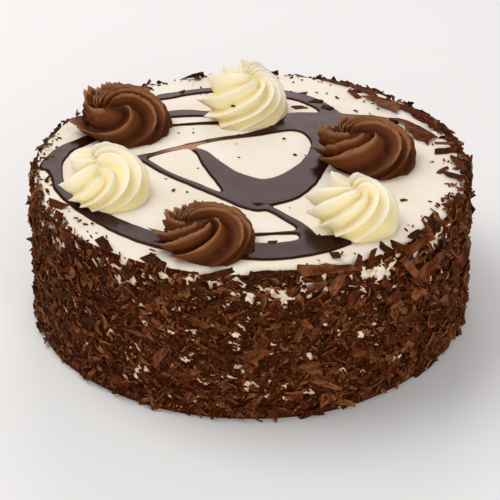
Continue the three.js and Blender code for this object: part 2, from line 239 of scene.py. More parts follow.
def closed_skin(apex: Place | Array, rings: Array, foot: Place) -> tuple[Array, list[Face]]:
    """A skin that is closed above and below.

    Args:
        apex: the middle of its top.
        rings: its rings of points, from the top outwards and down.
        foot: the middle of its foot.

    Returns:
        The skin's points and faces.
    """
    count, around = rings.shape[:2]
    places = np.vstack([apex, rings.reshape(-1, 3), foot])
    faces = ring_faces(count, around, 1)
    last = len(places) - 1
    for spot in range(around):
        following = (spot + 1) % around
        faces.append((0, 1 + spot, 1 + following))
        faces.append((last, last - around + following, last - around + spot))
    return places, faces


def dress(piece: Piece, material: Material, slot: str, *nodes: str) -> Piece:
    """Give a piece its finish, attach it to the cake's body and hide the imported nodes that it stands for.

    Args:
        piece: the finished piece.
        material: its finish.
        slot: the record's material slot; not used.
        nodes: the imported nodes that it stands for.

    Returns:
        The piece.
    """
    piece.data.materials.clear()
    piece.data.materials.append(material)
    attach(piece, BODY)
    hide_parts(*nodes)
    LOG.info("%s: %d faces", piece.name, len(piece.data.polygons))
    return piece


# --- node trees ---


class TreeMaker:
    """Adds nodes to a node tree and wires them, so that a tree reads as a list of steps."""

    def __init__(self, tree: Tree) -> None:
        """Start on a tree."""
        self.tree = tree

    def feed(self, node: Node, inputs: Inputs) -> None:
        """Wire or set a node's inputs.

        Args:
            node: the node.
            inputs: a socket to link or a value to set, by the input's name or number.
        """
        for key, value in inputs.items():
            socket = node.inputs[key]
            if isinstance(value, Socket):
                self.tree.links.new(value, socket)
            else:
                socket.default_value = (*value, 1.0) if socket.type == "RGBA" else value

    def add(self, kind: str, inputs: Inputs | None = None, **settings: object) -> Node:
        """Add one node.

        Args:
            kind: the node's type name.
            inputs: what its inputs get.
            settings: the node's own properties.

        Returns:
            The new node.
        """
        node = self.tree.nodes.new(kind)
        for key, value in settings.items():
            setattr(node, key, value)
        self.feed(node, inputs or {})
        return node

    def reckon(self, operation: str, first: object, second: object) -> Socket:
        """Combine two numbers."""
        return self.add("ShaderNodeMath", {0: first, 1: second}, operation=operation).outputs[0]

    def mix(self, share: object, low: object, high: object) -> Socket:
        """Blend two colours."""
        return self.add("ShaderNodeMix", {0: share, 6: low, 7: high}, data_type="RGBA").outputs[2]


def grain_group() -> Tree:
    """The fine unevenness that every finish shares, as noise at two sizes.

    Returns:
        A group with inputs Bump Size, in metres, and Roughening, and outputs Height and Mottle.
    """
    coarseness = 0.11
    group = bpy.data.node_groups.new("fine_grain", "ShaderNodeTree")
    for name, default in (("Bump Size", 0.001), ("Roughening", 0.5)):
        socket = group.interface.new_socket(name, in_out="INPUT", socket_type="NodeSocketFloat")
        socket.default_value = default
    for name in ("Height", "Mottle"):
        group.interface.new_socket(name, in_out="OUTPUT", socket_type="NodeSocketFloat")
    maker = TreeMaker(group)
    given = maker.add("NodeGroupInput").outputs
    place = maker.add("ShaderNodeTexCoord").outputs["Object"]
    scale = maker.reckon("DIVIDE", 1.0, given["Bump Size"])
    bumps = {"Vector": place, "Scale": scale, "Detail": 3.0, "Roughness": given["Roughening"]}
    blots = {"Vector": place, "Scale": maker.reckon("MULTIPLY", scale, coarseness), "Detail": 2.0}
    height = maker.add("ShaderNodeTexNoise", bumps).outputs["Fac"]
    mottle = maker.add("ShaderNodeTexNoise", blots).outputs["Fac"]
    maker.add("NodeGroupOutput", {"Height": height, "Mottle": mottle})
    return group


def start_material(name: str) -> tuple[Material, TreeMaker, Node]:
    """Start a material.

    Args:
        name: its name.

    Returns:
        The material, a maker for its tree and its Principled shader.
    """
    material = bpy.data.materials.new(name)
    material.use_nodes = True
    tree = material.node_tree
    return material, TreeMaker(tree), next(node for node in tree.nodes if node.type == "BSDF_PRINCIPLED")


# --- finishes ---


@dataclass(frozen=True)
class Span:
    """A smooth rise of what a finish reads, from low..high to start..end.

    It reads the shared grain's Height or Mottle, or else a number kept on the piece.
    """

    reads: str
    low: float
    high: float
    start: float = 0.0
    end: float = 1.0


@dataclass(frozen=True)
class Finish:
    """A finish: a base colour, colours laid over it as far as their spans say, and fine bumps.

    The uneven spans are added to the piece's own number before the layers read it. The grain's sizes
    are in millimetres, and the shader inputs are those that stay the same all over.
    """

    name: str
    own: str
    base: Color
    layers: tuple[tuple[Span, Color], ...]
    roughness: Span
    grain_size: float
    grain_depth: float
    shader: Inputs
    uneven: tuple[Span, ...] = ()
    roughening: float = 0.55

    def build(self, group: Tree) -> Material:
        """Make the material.

        Args:
            group: the shared grain.

        Returns:
            The material.
        """
        material, maker, shader = start_material(self.name)
        sizes = {"Bump Size": self.grain_size * MM, "Roughening": self.roughening}
        grain = maker.add("ShaderNodeGroup", sizes, node_tree=group).outputs
        known = {name: grain[name] for name in ("Height", "Mottle")}

        def read(name: str) -> Socket:
            """The number of that name, from the grain or from the piece."""
            if name not in known:
                known[name] = maker.add("ShaderNodeAttribute", attribute_name=name).outputs["Fac"]
            return known[name]

        def risen(span: Span) -> Socket:
            """What a span reads, mapped as it says."""
            limits = {"From Min": span.low, "From Max": span.high, "To Min": span.start, "To Max": span.end}
            limits["Value"] = read(span.reads)
            return maker.add("ShaderNodeMapRange", limits, interpolation_type="SMOOTHSTEP").outputs[0]

        for span in self.uneven:
            known[self.own] = maker.reckon("ADD", read(self.own), risen(span))
        colour: Color | Socket = self.base
        for span, paint in self.layers:
            colour = maker.mix(risen(span), colour, paint)
        bumps = {"Height": grain["Height"], "Strength": 1.0, "Distance": self.grain_depth * MM}
        normal = maker.add("ShaderNodeBump", bumps).outputs["Normal"]
        rough = risen(self.roughness)
        maker.feed(shader, self.shader | {"Base Color": colour, "Roughness": rough, "Normal": normal})
        return material


@dataclass(frozen=True)
class FloorFinish:
    """A plain pale studio floor."""

    name: str = "studio_floor"
    colour: Color = (0.86, 0.86, 0.86)
    roughness: float = 0.9

    def build(self) -> Material:
        """Make the material."""
        material, maker, shader = start_material(self.name)
        maker.feed(shader, {"Base Color": self.colour, "Roughness": self.roughness})
        return material


def lit_crests_shaded_valleys(face: Color, crest: Color) -> tuple[tuple[Span, Color], ...]:
    """The layers of piped cream over its base: palest on the crests of its ridges as a painted highlight,
    with the base showing in the valleys as painted shade.
    """
    on_face = (Span("ridge", 0.0, 0.55), face)
    on_crest = (Span("ridge", 0.62, 1.0), crest)
    return on_face, on_crest, (Span("Mottle", 0.35, 0.75, end=0.35), face)


def soft(weight: float, scatter: Color, depth: float) -> Inputs:
    """The shader inputs of stuff that light soaks into, by a depth in millimetres."""
    return {"Subsurface Weight": weight, "Subsurface Radius": scatter, "Subsurface Scale": depth * MM}


CREAM_SHEEN = {"IOR": 1.45, "Specular IOR Level": 0.06}
# Chocolate cream: its base is the painted shade of the valleys and its crest colour a painted highlight.
CHOCOLATE_FINISH = Finish(
    "chocolate_cream",
    own="ridge",
    base=(0.050, 0.0110, 0.0025),
    layers=lit_crests_shaded_valleys(face=(0.132, 0.037, 0.0095), crest=(0.340, 0.150, 0.064)),
    roughness=Span("Mottle", 0.3, 0.7, 0.40, 0.52),
    grain_size=0.45,
    grain_depth=0.1,
    shader=CREAM_SHEEN | soft(0.05, (0.8, 0.4, 0.2), 1.5),
)
# Vanilla cream: deeper yellow in the valleys as painted shade, whiter on the crests as a painted highlight.
VANILLA_FINISH = Finish(
    "vanilla_cream",
    own="ridge",
    base=(0.91, 0.760, 0.375),
    layers=lit_crests_shaded_valleys(face=(0.92, 0.825, 0.580), crest=(0.92, 0.870, 0.745)),
    roughness=Span("Mottle", 0.3, 0.7, 0.34, 0.46),
    grain_size=0.5,
    grain_depth=0.05,
    shader=CREAM_SHEEN | soft(0.4, (1.0, 0.75, 0.4), 1.5),
)
# Off-white and smooth, dusted brown where the coat of shavings covers it, that dust darkened as painted
# shade between the shavings.
# At the coat's edges it is tinted warm tan, partly crumb stain and partly painted light bounced off the
# shavings.
ICING_FINISH = Finish(
    "buttercream_icing",
    own="coat",
    base=(0.86, 0.80, 0.70),
    layers=(
        (Span("Mottle", 0.35, 0.7), (0.84, 0.76, 0.62)),
        # Warm tan: crumb stain and painted bounce light from the shavings.
        (Span("coat", 0.12, 0.5), (0.50, 0.26, 0.09)),
        # Near-black brown: chocolate dust, darkened as painted shade between the shavings.
        (Span("coat", 0.4, 0.62), (0.052, 0.0096, 0.0014)),
    ),
    roughness=Span("Mottle", 0.3, 0.7, 0.40, 0.53),
    grain_size=2.2,
    grain_depth=0.05,
    shader={"Specular IOR Level": 0.05} | soft(0.15, (1.0, 0.7, 0.45), 2.0),
    uneven=(Span("Height", 0.2, 0.8, -0.2, 0.2),),
)
# Dark and glossy, brown and clear where its film is thin.
GANACHE_FINISH = Finish(
    "dark_ganache",
    own="film",
    base=(0.42, 0.17, 0.05),
    layers=((Span("film", 0.02, 0.4), (0.024, 0.0062, 0.0030)),),
    roughness=Span("Mottle", 0.35, 0.7, 0.16, 0.26),
    grain_size=1.4,
    grain_depth=0.008,
    shader={"IOR": 1.15, "Specular Tint": (1.0, 0.80, 0.81)},
)
# Broken chocolate in mixed browns, each shaving in its own tone, with dark and pale specks, and its thin
# edges painted paler as a highlight.
DARK_CHOCOLATE = (0.020, 0.0036, 0.0007)
PALE_CHOCOLATE = (0.275, 0.100, 0.038)
SHAVING_FINISH = Finish(
    "chocolate_shavings",
    own="tone",
    base=DARK_CHOCOLATE,
    layers=(
        (Span("tone", 0.12, 0.5), (0.079, 0.0150, 0.0024)),
        (Span("tone", 0.6, 1.2), PALE_CHOCOLATE),
        (Span("Height", 0.5, 0.36, end=0.75), DARK_CHOCOLATE),
        (Span("Height", 0.5, 0.68, end=0.55), PALE_CHOCOLATE),
    ),
    roughness=Span("Height", 0.3, 0.7, 0.42, 0.68),
    grain_size=0.6,
    grain_depth=0.12,
    shader={"IOR": 1.46, "Specular IOR Level": 0.03},
    # The edge span paints the shavings' thin edges paler, as a highlight.
    uneven=(Span("shade", 0.0, 1.0, -0.22, 0.22), Span("edge", 0.0, 1.0, 0.0, 0.3)),
    roughening=0.75,
)


# --- the iced cake ---


@dataclass(frozen=True)
class CakeSizes:
    """The driving sizes of the iced cake, in millimetres."""

    height: float = 75.0
    foot_radius: float = 106.0
    top_radius: float = 103.0
    edge_round: float = 4.0
    wobble: float = 0.5
    swells: tuple[tuple[float, float, int], ...] = ((0.18, 26.0, 4), (0.06, 8.0, 5))
    top_sink: float = 0.05

    INNERMOST = 0.02
    FOOT_SHARES = (0.97, 0.5, INNERMOST)
    TOP_RINGS = 36
    EDGE_RINGS = 8
    SIDE_RINGS = 83

    def side_radius(self, height: Array | float) -> Array | float:
        """The radius of the icing's side at a height."""
        return self.foot_radius + (self.top_radius - self.foot_radius) * height / self.height

    def wobble_at(self, angle: Array) -> Array:
        """How far the side swells or sinks at an angle in radians round the cake."""
        waves = np.sin(2 * angle + 0.7) + 0.6 * np.sin(5 * angle + 2) + 0.4 * np.sin(9 * angle)
        return self.wobble * waves

    def top_rise(self, x: Array, y: Array) -> Array:
        """How far the spread top rises or sinks from level at a place."""
        return sum(rise * level_noise(x, y, cell, seed) for rise, cell, seed in self.swells) - self.top_sink

    def outline(self) -> list[tuple[float, float]]:
        """The section of the icing.

        Returns:
            Its radius and height at each ring, from the top's middle to the foot's middle.
        """
        shoulder = self.height - self.edge_round
        inner = float(self.side_radius(shoulder)) - self.edge_round
        shares = np.linspace(self.INNERMOST, 1.0, self.TOP_RINGS)
        section = [(inner * share, self.height) for share in shares]
        for turn in np.linspace(0.0, math.pi / 2, self.EDGE_RINGS + 1)[1:]:
            out, up = self.edge_round * math.sin(turn), self.edge_round * math.cos(turn)
            section.append((inner + out, shoulder + up))
        for height in np.linspace(shoulder, 0.0, self.SIDE_RINGS + 1)[1:]:
            section.append((float(self.side_radius(height)), float(height)))
        return section + [(self.foot_radius * share, 0.0) for share in self.FOOT_SHARES]


@dataclass(frozen=True)
class Coat:
    """Where shavings cover the icing: nearly all of the side, with small ragged bare patches."""

    sizes: CakeSizes
    patch: float = 3.2
    rag: float = 1.3
    bend: float = 2.1
    slant: float = 0.004
    squash: float = 1.3
    bareness: float = 0.35
    under_rim: float = 0.4
    rim_drop: float = 9.0
    rim_spread: float = 6.5
    low_band: float = 0.045
    band_share: float = 0.42
    band_spread: float = 22.0
    left: float = 0.12
    foot: float = 0.2

    BEND_SEEDS = (31, 32, 33)
    PATCH_SEED = 21
    RAG_SEED = 22
    PATCH_WEIGHT = 0.62

    def bare_share(self, angle: Array, height: Array | float) -> Array:
        """How readily the icing shows: most under the front of the rim, least on the left.

        Args:
            angle: places round the cake, in radians.
            height: their heights.

        Returns:
            The share by which bare patches grow at each place.
        """
        front = 0.5 - 0.5 * np.sin(angle + 0.15)
        under_rim = np.exp(-(((height - self.sizes.height + self.rim_drop) / self.rim_spread) ** 2))
        low_band = np.exp(-(((height - self.band_share * self.sizes.height) / self.band_spread) ** 2))
        bare = self.under_rim * (under_rim * smooth_rise(0.35, 0.8, front))
        bare = bare + self.low_band * (low_band * smooth_rise(0.35, 0.9, front))
        bare = bare - self.left * smooth_rise(0.1, 0.9, -np.cos(angle))
        return bare - self.foot * smooth_rise(9.0, 2.0, height)

    def cover(self, angle: Array, height: Array | float) -> Array:
        """How well the side is covered.

        Args:
            angle: places round the cake, in radians.
            height: their heights.

        Returns:
            1 where shavings cover the icing and 0 in the middle of a bare patch.
        """
        places = polar_places(angle + self.slant * height, self.sizes.top_radius, height * self.squash)
        bends = [value_noise(places, self.bend, seed) for seed in self.BEND_SEEDS]
        places = places + self.bend * 0.8 * np.stack(bends, axis=-1)
        wave = value_noise(places, self.patch, self.PATCH_SEED) * self.PATCH_WEIGHT
        wave = wave + value_noise(places, self.rag, self.RAG_SEED) * (1.0 - self.PATCH_WEIGHT)
        return smooth_rise(-0.08, 0.05, self.bareness + wave - self.bare_share(angle, height))


@dataclass(frozen=True)
class IcedCake:
    """The icing over the whole cake: its spread top, rounded edge, side and foot."""

    sizes: CakeSizes
    coat: Coat
    around: int = 720
    # The least coat on the side tints all bare icing warm: crumb stain and painted bounce light from the
    # shavings.
    least_stain_and_bounce: float = 0.24

    def build(self, material: Material) -> Piece:
        """Make the icing.

        Args:
            material: its finish.

        Returns:
            The finished piece.
        """
        sizes = self.sizes
        angle = all_round(self.around)
        rings = []
        covers = []
        for reach, height in sizes.outline():
            radius = reach + sizes.wobble_at(angle) * min(1.0, reach / sizes.top_radius) ** 6
            rise = np.full_like(angle, height)
            if height > sizes.height - 0.01:
                rise += sizes.top_rise(radius * np.cos(angle), radius * np.sin(angle))
            on_side = height < sizes.height - 0.5 * sizes.edge_round and reach > 0.9 * sizes.top_radius
            cover = self.coat.cover(angle, rise) if on_side else np.zeros_like(angle)
            rings.append(polar_places(angle, radius, rise))
            covers.append(np.maximum(cover, self.least_stain_and_bounce * on_side))
        places, faces = closed_skin((0.0, 0.0, sizes.height), np.array(rings), (0.0, 0.0, 0.0))
        piece = new_piece("icing", places, faces)
        store(piece, coat=np.concatenate([[0.0], *covers, [0.0]]))
        return dress(piece, material, "icing", "cake")


# --- rosettes ---


@dataclass(frozen=True)
class Piping:
    """One cream and how it leaves the nozzle.

    The valley's place and the width of a crest's lip are shares of the way from one crest to the next,
    and the lip's height is a share of its ridge.
    """

    slot: str
    valley_place: float
    lip_height: float
    lip_width: float
    jag: float
    torn: float = 1.0


class Cream(Enum):
    """Which cream a rosette is piped from."""

    CHOCOLATE = Piping("chocolate_cream", 0.84, lip_height=0.24, lip_width=0.045, jag=0.06)
    VANILLA = Piping("vanilla_cream", 0.4, lip_height=0.16, lip_width=0.13, jag=0.02, torn=0.12)


@dataclass(frozen=True)
class Rosette:
    """One piped rosette: a star of ridges that leave its eye and sweep clockwise on their way out.

    The eye, and the seam that runs from it to the open side, are given in shares of the radius, the
    ridges by the angles at which they leave the seam, and the lean by how much its height grows to the
    right and to the back. Ridges sweep least, by the easing, about the slow side, and end in raised
    tips about the open side.
    """

    node: str
    x: float
    y: float
    radius: float
    height: float
    lean: tuple[float, float]
    eye: tuple[float, float]
    seam: tuple[float, float]
    ridges: tuple[float, ...]
    easing: float
    tips: tuple[float, float]
    cream: Cream
    seed: int
    sweep: float
    sweep_power: float
    slow_side: float = 190.0
    open_side: float = 180.0
    tip_depth: float = 0.3

    SEAM_MIDDLE = 130.0
    SEAM_REACH = 140.0
    CURL = 125.0
    CURL_REACH = 0.19
    LATE_SWEEP = 30.0
    LATE_POWER = 14.0
    CROWDING = 0.12
    LIP_SINK = 0.08
    FULL_RIDGE = 32.0
    FINE_BUMP = 0.8
    LUMP = 2.2
    WAVE = 5.0
    SKIN_SHARE = 0.94
    RIDGE_DEPTH = 0.19
    RIDGE_ROOT = 0.6
    LIP_LEAN = 0.05
    FOOT_RECESS = 0.2
    EYE_DEPTH = 0.1
    EYE_REACH = 0.28
    TORN_SIDE = 150.0
    COLUMNS_A_RIDGE = 32
    ROWS = 84
    WALL_ROWS = 9

    def starts(self) -> tuple[Array, Array]:
        """The columns of the mesh.

        Returns:
            The angle at which each column leaves the eye, in radians, and how high it stands on its ridge.
        """
        piping = self.cream.value
        edges = np.sort(np.array(self.ridges) % 360.0)
        edges = np.append(edges, edges[0] + 360.0)
        place = np.arange(self.COLUMNS_A_RIDGE) / self.COLUMNS_A_RIDGE
        place = place + self.CROWDING * np.sin(2 * math.pi * place) / math.pi
        valley = piping.valley_place
        falling = np.clip(1.0 - place / valley, 0.0, 1.0) ** 1.25
        rising = np.clip((place - valley) / (1.0 - valley), 0.0, 1.0) ** 1.6
        lip = piping.lip_height * np.exp(-place / piping.lip_width) - self.LIP_SINK
        width = np.diff(edges)
        angle = (edges[:-1, None] + width[:, None] * place).ravel()
        depth = np.minimum(1.0, width / self.FULL_RIDGE)[:, None]
        ridge = (1.0 - (1.0 - np.maximum(falling + lip, rising)) * depth).ravel()
        return np.radians(angle), ridge

    def swept(self, start: Array, share: Array) -> Array:
        """The angle that a column has reached.

        Args:
            start: the angles at which columns leave the eye, in radians.
            share: how far out they are, from 0 at the eye to 1 at the outline.

        Returns:
            The angles about the eye, in radians.
        """
        full = np.radians(self.sweep * share**self.sweep_power + self.LATE_SWEEP * share**self.LATE_POWER)
        pace = math.sqrt(1.0 - self.easing)
        half = (start - math.radians(self.slow_side)) / 2
        even = np.arctan2(np.sin(half), pace * np.cos(half)) - pace * full / 2
        angle = 2 * np.arctan2(pace * np.sin(even), np.cos(even)) + math.radians(self.slow_side)
        return angle + math.radians(self.CURL) * np.exp(-share / self.CURL_REACH)

    def roughened(self, spots: Array, angle: Array, ridge: Array, share: Array) -> Array:
        """The ridges as real cream has them, wavy, jagged and torn on the side where the nozzle left.

        Args:
            spots: the places of the smooth skin.
            angle: their angles about the eye, in radians.
            ridge: how high they stand on their ridge, from 0 to 1.
            share: how far out they are.

        Returns:
            How high they stand on the rough ridge.
        """
        piping = self.cream.value
        flat = spots.reshape(-1, 3)
        cells = ((self.FINE_BUMP, 0), (self.WAVE, 9), (self.LUMP, 17))
        noises = [value_noise(flat, cell, self.seed + further) for cell, further in cells]
        fine, wavy, lumps = (noise.reshape(ridge.shape) for noise in noises)
        torn_side = np.clip(np.cos(angle - math.radians(self.TORN_SIDE)), 0, 1) ** 2
        torn = smooth_rise(0.35, 0.75, share) * torn_side * piping.torn
        jag = piping.jag * (1.0 + 0.7 * ridge**4)
        return ridge * (1.0 + jag * fine + 0.1 * wavy) + torn * (0.55 * lumps + 0.25 * fine)

    def skin(self, start: Array, ridge: Array, share: Array, drop: Array) -> tuple[Array, Array]:
        """Points of the rosette's skin.

        Args:
            start: the angles at which their columns leave the eye, in radians.
            ridge: how high they stand on their ridge, from 0 to 1.
            share: how far out they are.
            drop: how far down the open side's wall they are, from 0 at its top to 1 at the foot.

        Returns:
            The points about the middle of its foot, in millimetres, and how much of a crest each is.
        """
        angle = self.swept(start, share)
        away = (start - math.radians(self.SEAM_MIDDLE) + math.pi) % (2 * math.pi) - math.pi
        seam = np.clip(1.0 - (away / math.radians(self.SEAM_REACH)) ** 2, 0.0, 1.0) * (1.0 - share) ** 1.3
        eye_x = self.eye[0] + self.seam[0] * seam
        eye_y = self.eye[1] + self.seam[1] * seam
        along = eye_x * np.cos(angle) + eye_y * np.sin(angle)
        span = np.sqrt(along**2 + 1.0 - eye_x**2 - eye_y**2) - along
        spots = polar_places(angle, share * span * self.radius, drop * 9.0 + 50.0 * self.seed)
        crest = self.roughened(spots, angle, ridge, share)
        closed = 0.5 + 0.5 * np.cos(angle + 0.35)
        lifted = smooth_rise(0.02, 0.25, share) * (1.0 - smooth_rise(0.0, 0.6, drop))
        lifted = lifted * (1.0 - 0.75 * closed * smooth_rise(0.78, 1.0, share))
        share = share * (1.0 - self.LIP_LEAN * ridge**4 * lifted * (1.0 - share))
        x = eye_x + share * span * np.cos(angle)
        y = eye_y + share * span * np.sin(angle)
        out = np.minimum(np.hypot(x, y), 1.0)
        around = np.arctan2(y, x)
        facing = (around - math.radians(self.open_side) + 2 * math.pi) % (2 * math.pi) / math.pi - 1.0
        opening = smooth_rise(0.3, 0.72, np.abs(facing))
        backness = 0.5 + 0.5 * np.sin(around)
        tip = self.height * opening * (self.tips[0] + (self.tips[1] - self.tips[0]) * backness)
        dome = (1.0 - out**2.4) ** (0.6 + 0.25 * opening)
        tilt = math.pi / 2 * (1.0 - out**1.5) + 0.35 * opening * out
        push = self.RIDGE_DEPTH * self.radius * lifted * (crest - self.RIDGE_ROOT)
        push = push * (1.0 + self.tip_depth * opening * smooth_rise(0.45, 1.0, share))
        recess = self.FOOT_RECESS * opening * smooth_rise(0.0, 0.5, drop)
        reach = self.radius * self.SKIN_SHARE * out * (1.0 - recess) + push * np.cos(tilt)
        lean = 1.0 + self.lean[0] * x + self.lean[1] * y
        rise = (tip * (1.0 - drop) + (self.height - tip) * dome) * lean
        sunk = self.EYE_DEPTH * self.height * np.exp(-((share / self.EYE_REACH) ** 2)) * (1.0 - drop)
        rise = np.maximum(rise - sunk + push * np.sin(tilt), 0.0)
        return polar_places(around, reach, rise), ridge * lifted

    def build(self, material: Material, base: float) -> Piece:
        """Make the rosette.

        Args:
            material: its cream's finish.
            base: the height that it stands at.

        Returns:
            The finished piece.
        """
        start, ridge = self.starts()
        share = 1.0 - (1.0 - np.linspace(0.0, 1.0, self.ROWS + 1)[1:]) ** 1.25
        share = np.concatenate([share, np.ones(self.WALL_ROWS)])[:, None]
        wall = np.linspace(0.0, 1.0, self.WALL_ROWS + 1)[1:]
        drop = np.concatenate([np.zeros(self.ROWS), wall])[:, None]
        skin, crest = self.skin(*np.broadcast_arrays(start, ridge, share, drop))
        skin[-1, :, 2] = 0.0
        places, faces = closed_skin(skin[0].mean(axis=0), skin, (0.0, 0.0, 0.0))
        piece = new_piece(f"{self.node}_piped", places + np.array([self.x, self.y, base]), faces)
        # The ridge number tells the finish where to paint the crests' highlight and the valleys' shade.
        store(piece, ridge=np.concatenate([[0.5], crest.ravel(), [0.0]]))
        return dress(piece, material, self.cream.value.slot, self.node)


ROSETTES = (
    Rosette("rosette_chocolate_back_left", -63, 34.5, 25, 15, (0, 0.35), (-0.1, -0.2), (-0.42, 0.15),
            (318, 28, 58, 88, 118, 155, 205), 0.4, (0.3, 0.5), Cream.CHOCOLATE, 1, 130, 2.3,
            slow_side=20, tip_depth=0.35),
    Rosette("rosette_vanilla_left", -65.5, -33.5, 21.5, 17.5, (0, 0.3), (-0.15, -0.35), (-0.05, 0.6),
            (196, 262, 345, 42, 80, 112, 156), 0.85, (0.2, 0.65), Cream.VANILLA, 2, 140, 2.0,
            slow_side=180, open_side=172, tip_depth=0.45),
    Rosette("rosette_chocolate_front", -19, -78.5, 23, 12.8, (0.05, 0.02), (0, -0.12), (-0.48, 0.1),
            (230, 265, 325, 62, 84, 112, 145, 185), 0.6, (0.25, 0.35), Cream.CHOCOLATE, 3, 130, 1.7),
    Rosette("rosette_vanilla_back", -2.5, 53, 23, 18.5, (0.1, 0.25), (0.24, 0.1), (-0.12, 0.3),
            (100, 124, 148, 174, 240, 300, 345, 15, 48, 76), 0.88, (0.1, 0.72), Cream.VANILLA, 4, 105, 2.3,
            slow_side=140, open_side=140, tip_depth=0.8),
    Rosette("rosette_chocolate_right", 56, 1, 25.5, 15.5, (0, 0.1), (0, -0.05), (-0.5, 0.05),
            (240, 278, 50, 78, 112, 150, 195), 0.7, (0.3, 0.5), Cream.CHOCOLATE, 5, 150, 1.7),
    Rosette("rosette_vanilla_front_right", 46.5, -60, 21, 18, (0, 0.1), (0.05, 0), (-0.1, 0.12),
            (225, 295, 5, 52, 98, 148, 188), 0.88, (0.2, 0.65), Cream.VANILLA, 6, 145, 1.7,
            slow_side=175, open_side=170, tip_depth=0.8),
)


# --- ganache drizzle ---


@dataclass(frozen=True)
class Drizzle:
    """Ganache poured in strokes over the top, run together where strokes meet.

    Each stroke is a row of places with the stroke's width there. The ganache is thinnest on the line
    between the thin ends.
    """

    strokes: tuple[tuple[Place, ...], ...] = (
        ((-80, 21, 8), (-91, 8, 8.5), (-93, -5, 8), (-90, -21, 6), (-86, -33, 6.5), (-70.5, -53, 9),
         (-51, -70.5, 11), (-30, -81, 13), (5, -87, 14.5), (24, -83.5, 14), (35, -79, 12), (42, -79, 4)),
        ((-92, 3, 6), (-97, -5, 6), (-98, -10, 3)),
        ((-52, 0, 3.5), (-39, -15, 4), (-20, -31, 4.2), (0, -48, 4.2), (8, -49, 4), (15, -56, 4.6),
         (23.5, -67, 5.5), (26, -79, 8)),
        ((0, -72.5, 2.5), (13, -71, 2.5), (22, -70, 2.5)),
        ((-53, 1, 4), (-36, 11.5, 4), (-18.5, 20.5, 3.5), (0, 26.5, 5), (14, 33, 8), (22, 39, 12)),
        ((-28.5, 12.5, 3), (-23, 5, 6.5), (-18, -6, 10), (-10.5, -19, 14), (0, -31, 23), (10, -32.5, 25),
         (20, -24.5, 20), (29.5, -8, 14), (34.5, 8, 12), (36, 20, 14), (33, 33, 18), (24, 41, 17)),
        ((15, 42, 15), (30, 42, 19), (45, 40, 20), (60, 39.5, 17), (72, 40, 6)),
        ((-46, 70, 7), (-31.5, 76, 6), (-15, 80, 6), (5, 78.5, 8), (22, 72, 9), (33.5, 63, 9), (41, 52, 8)),
        ((-44, 48, 8), (-32.5, 50.5, 8), (-18, 49, 6), (-5, 46, 5)),
        ((-40, 36.5, 2.5), (-29.5, 38.5, 2.5), (-15, 39.5, 3.5), (-8, 38, 2)),
    )
    thickness: float = 0.8
    edge_width: float = 1.0
    merging: float = 1.6
    pitch: float = 0.55
    reach: float = 102.0
    sunk: float = 0.35
    thin_ends: tuple[tuple[float, float], tuple[float, float]] = ((-49.0, 3.5), (4.0, 28.0))
    thin_share: float = 0.36
    thin_width: float = 2.6

    SAMPLES_A_STRETCH = 6
    FAR = 20.0

    def depth_inside(self, x: Array, y: Array) -> Array:
        """How far inside the strokes places lie.

        Args:
            x: how far right they are.
            y: how far back they are.

        Returns:
            Their distance from the outline, below zero outside.
        """
        merged = np.zeros(x.shape)
        for stroke in self.strokes:
            route = catmull_rom(np.array(stroke, dtype=float), self.SAMPLES_A_STRETCH)
            nearest = np.full(x.shape, np.inf)
            for (x0, y0, w0), (x1, y1, w1) in zip(route, route[1:]):
                along = np.array([x1 - x0, y1 - y0])
                share = np.clip(((x - x0) * along[0] + (y - y0) * along[1]) / (along @ along), 0.0, 1.0)
                away = np.hypot(x - x0 - share * along[0], y - y0 - share * along[1])
                nearest = np.minimum(nearest, away - (w0 + (w1 - w0) * share) / 2)
            merged += np.exp(-np.clip(nearest, -self.FAR, self.FAR) / self.merging)
        return self.merging * np.log(np.maximum(merged, 1e-12)) + 0.25 * level_noise(x, y, 5.0, 31)

    def film(self, x: Array, y: Array, inside: Array) -> Array:
        """The ganache's thickness.

        Args:
            x: how far right its places are.
            y: how far back they are.
            inside: how far from the outline they are.

        Returns:
            The thickness at each place.
        """
        bank = 1.0 - np.clip(inside / self.edge_width, 0.0, 1.0)
        full = self.thickness * np.sqrt(np.clip(1.0 - bank**2, 0.0, 1.0))
        (x0, y0), (x1, y1) = self.thin_ends
        length = math.hypot(x1 - x0, y1 - y0)
        along = ((x - x0) * (x1 - x0) + (y - y0) * (y1 - y0)) / length**2
        across = ((x - x0) * (y1 - y0) - (y - y0) * (x1 - x0)) / length
        thin = smooth_rise(-0.04, 0.08, along) * smooth_rise(1.08, 0.85, along)
        thin = thin * smooth_rise(2.0, 1.0, np.abs(across) / self.thin_width)
        clearest = np.exp(-(((along - self.thin_share) / 0.2) ** 4))
        return full * (1.0 - thin * (0.62 + 0.26 * clearest))

    def build(self, material: Material, sizes: CakeSizes) -> Piece:
        """Make the ganache as one sheet that follows its outline between grid points.

        Args:
            material: its finish.
            sizes: the cake that it lies on.

        Returns:
            The finished piece.
        """
        line = np.arange(-self.reach, self.reach, self.pitch)
        grid = np.stack(np.meshgrid(line, line, indexing="ij"), axis=-1)
        inside = self.depth_inside(grid[..., 0], grid[..., 1])
        wet = inside > 0.0
        spots: list[Array] = []
        depths: list[float] = []
        known: dict[tuple[tuple[int, int], tuple[int, int]], int] = {}

        def spot_number(here: tuple[int, int], there: tuple[int, int]) -> int:
            """The point on a grid corner, or where the outline crosses between two of them.

            Args:
                here: the corner.
                there: the same corner, or its neighbour beyond the outline.

            Returns:
                The point's number.
            """
            key = (min(here, there), max(here, there))
            if key not in known:
                crossing = here != there
                share = inside[here] / (inside[here] - inside[there]) if crossing else 0.0
                known[key] = len(spots)
                spots.append(grid[here] + share * (grid[there] - grid[here]))
                depths.append(0.0 if crossing else inside[here])
            return known[key]

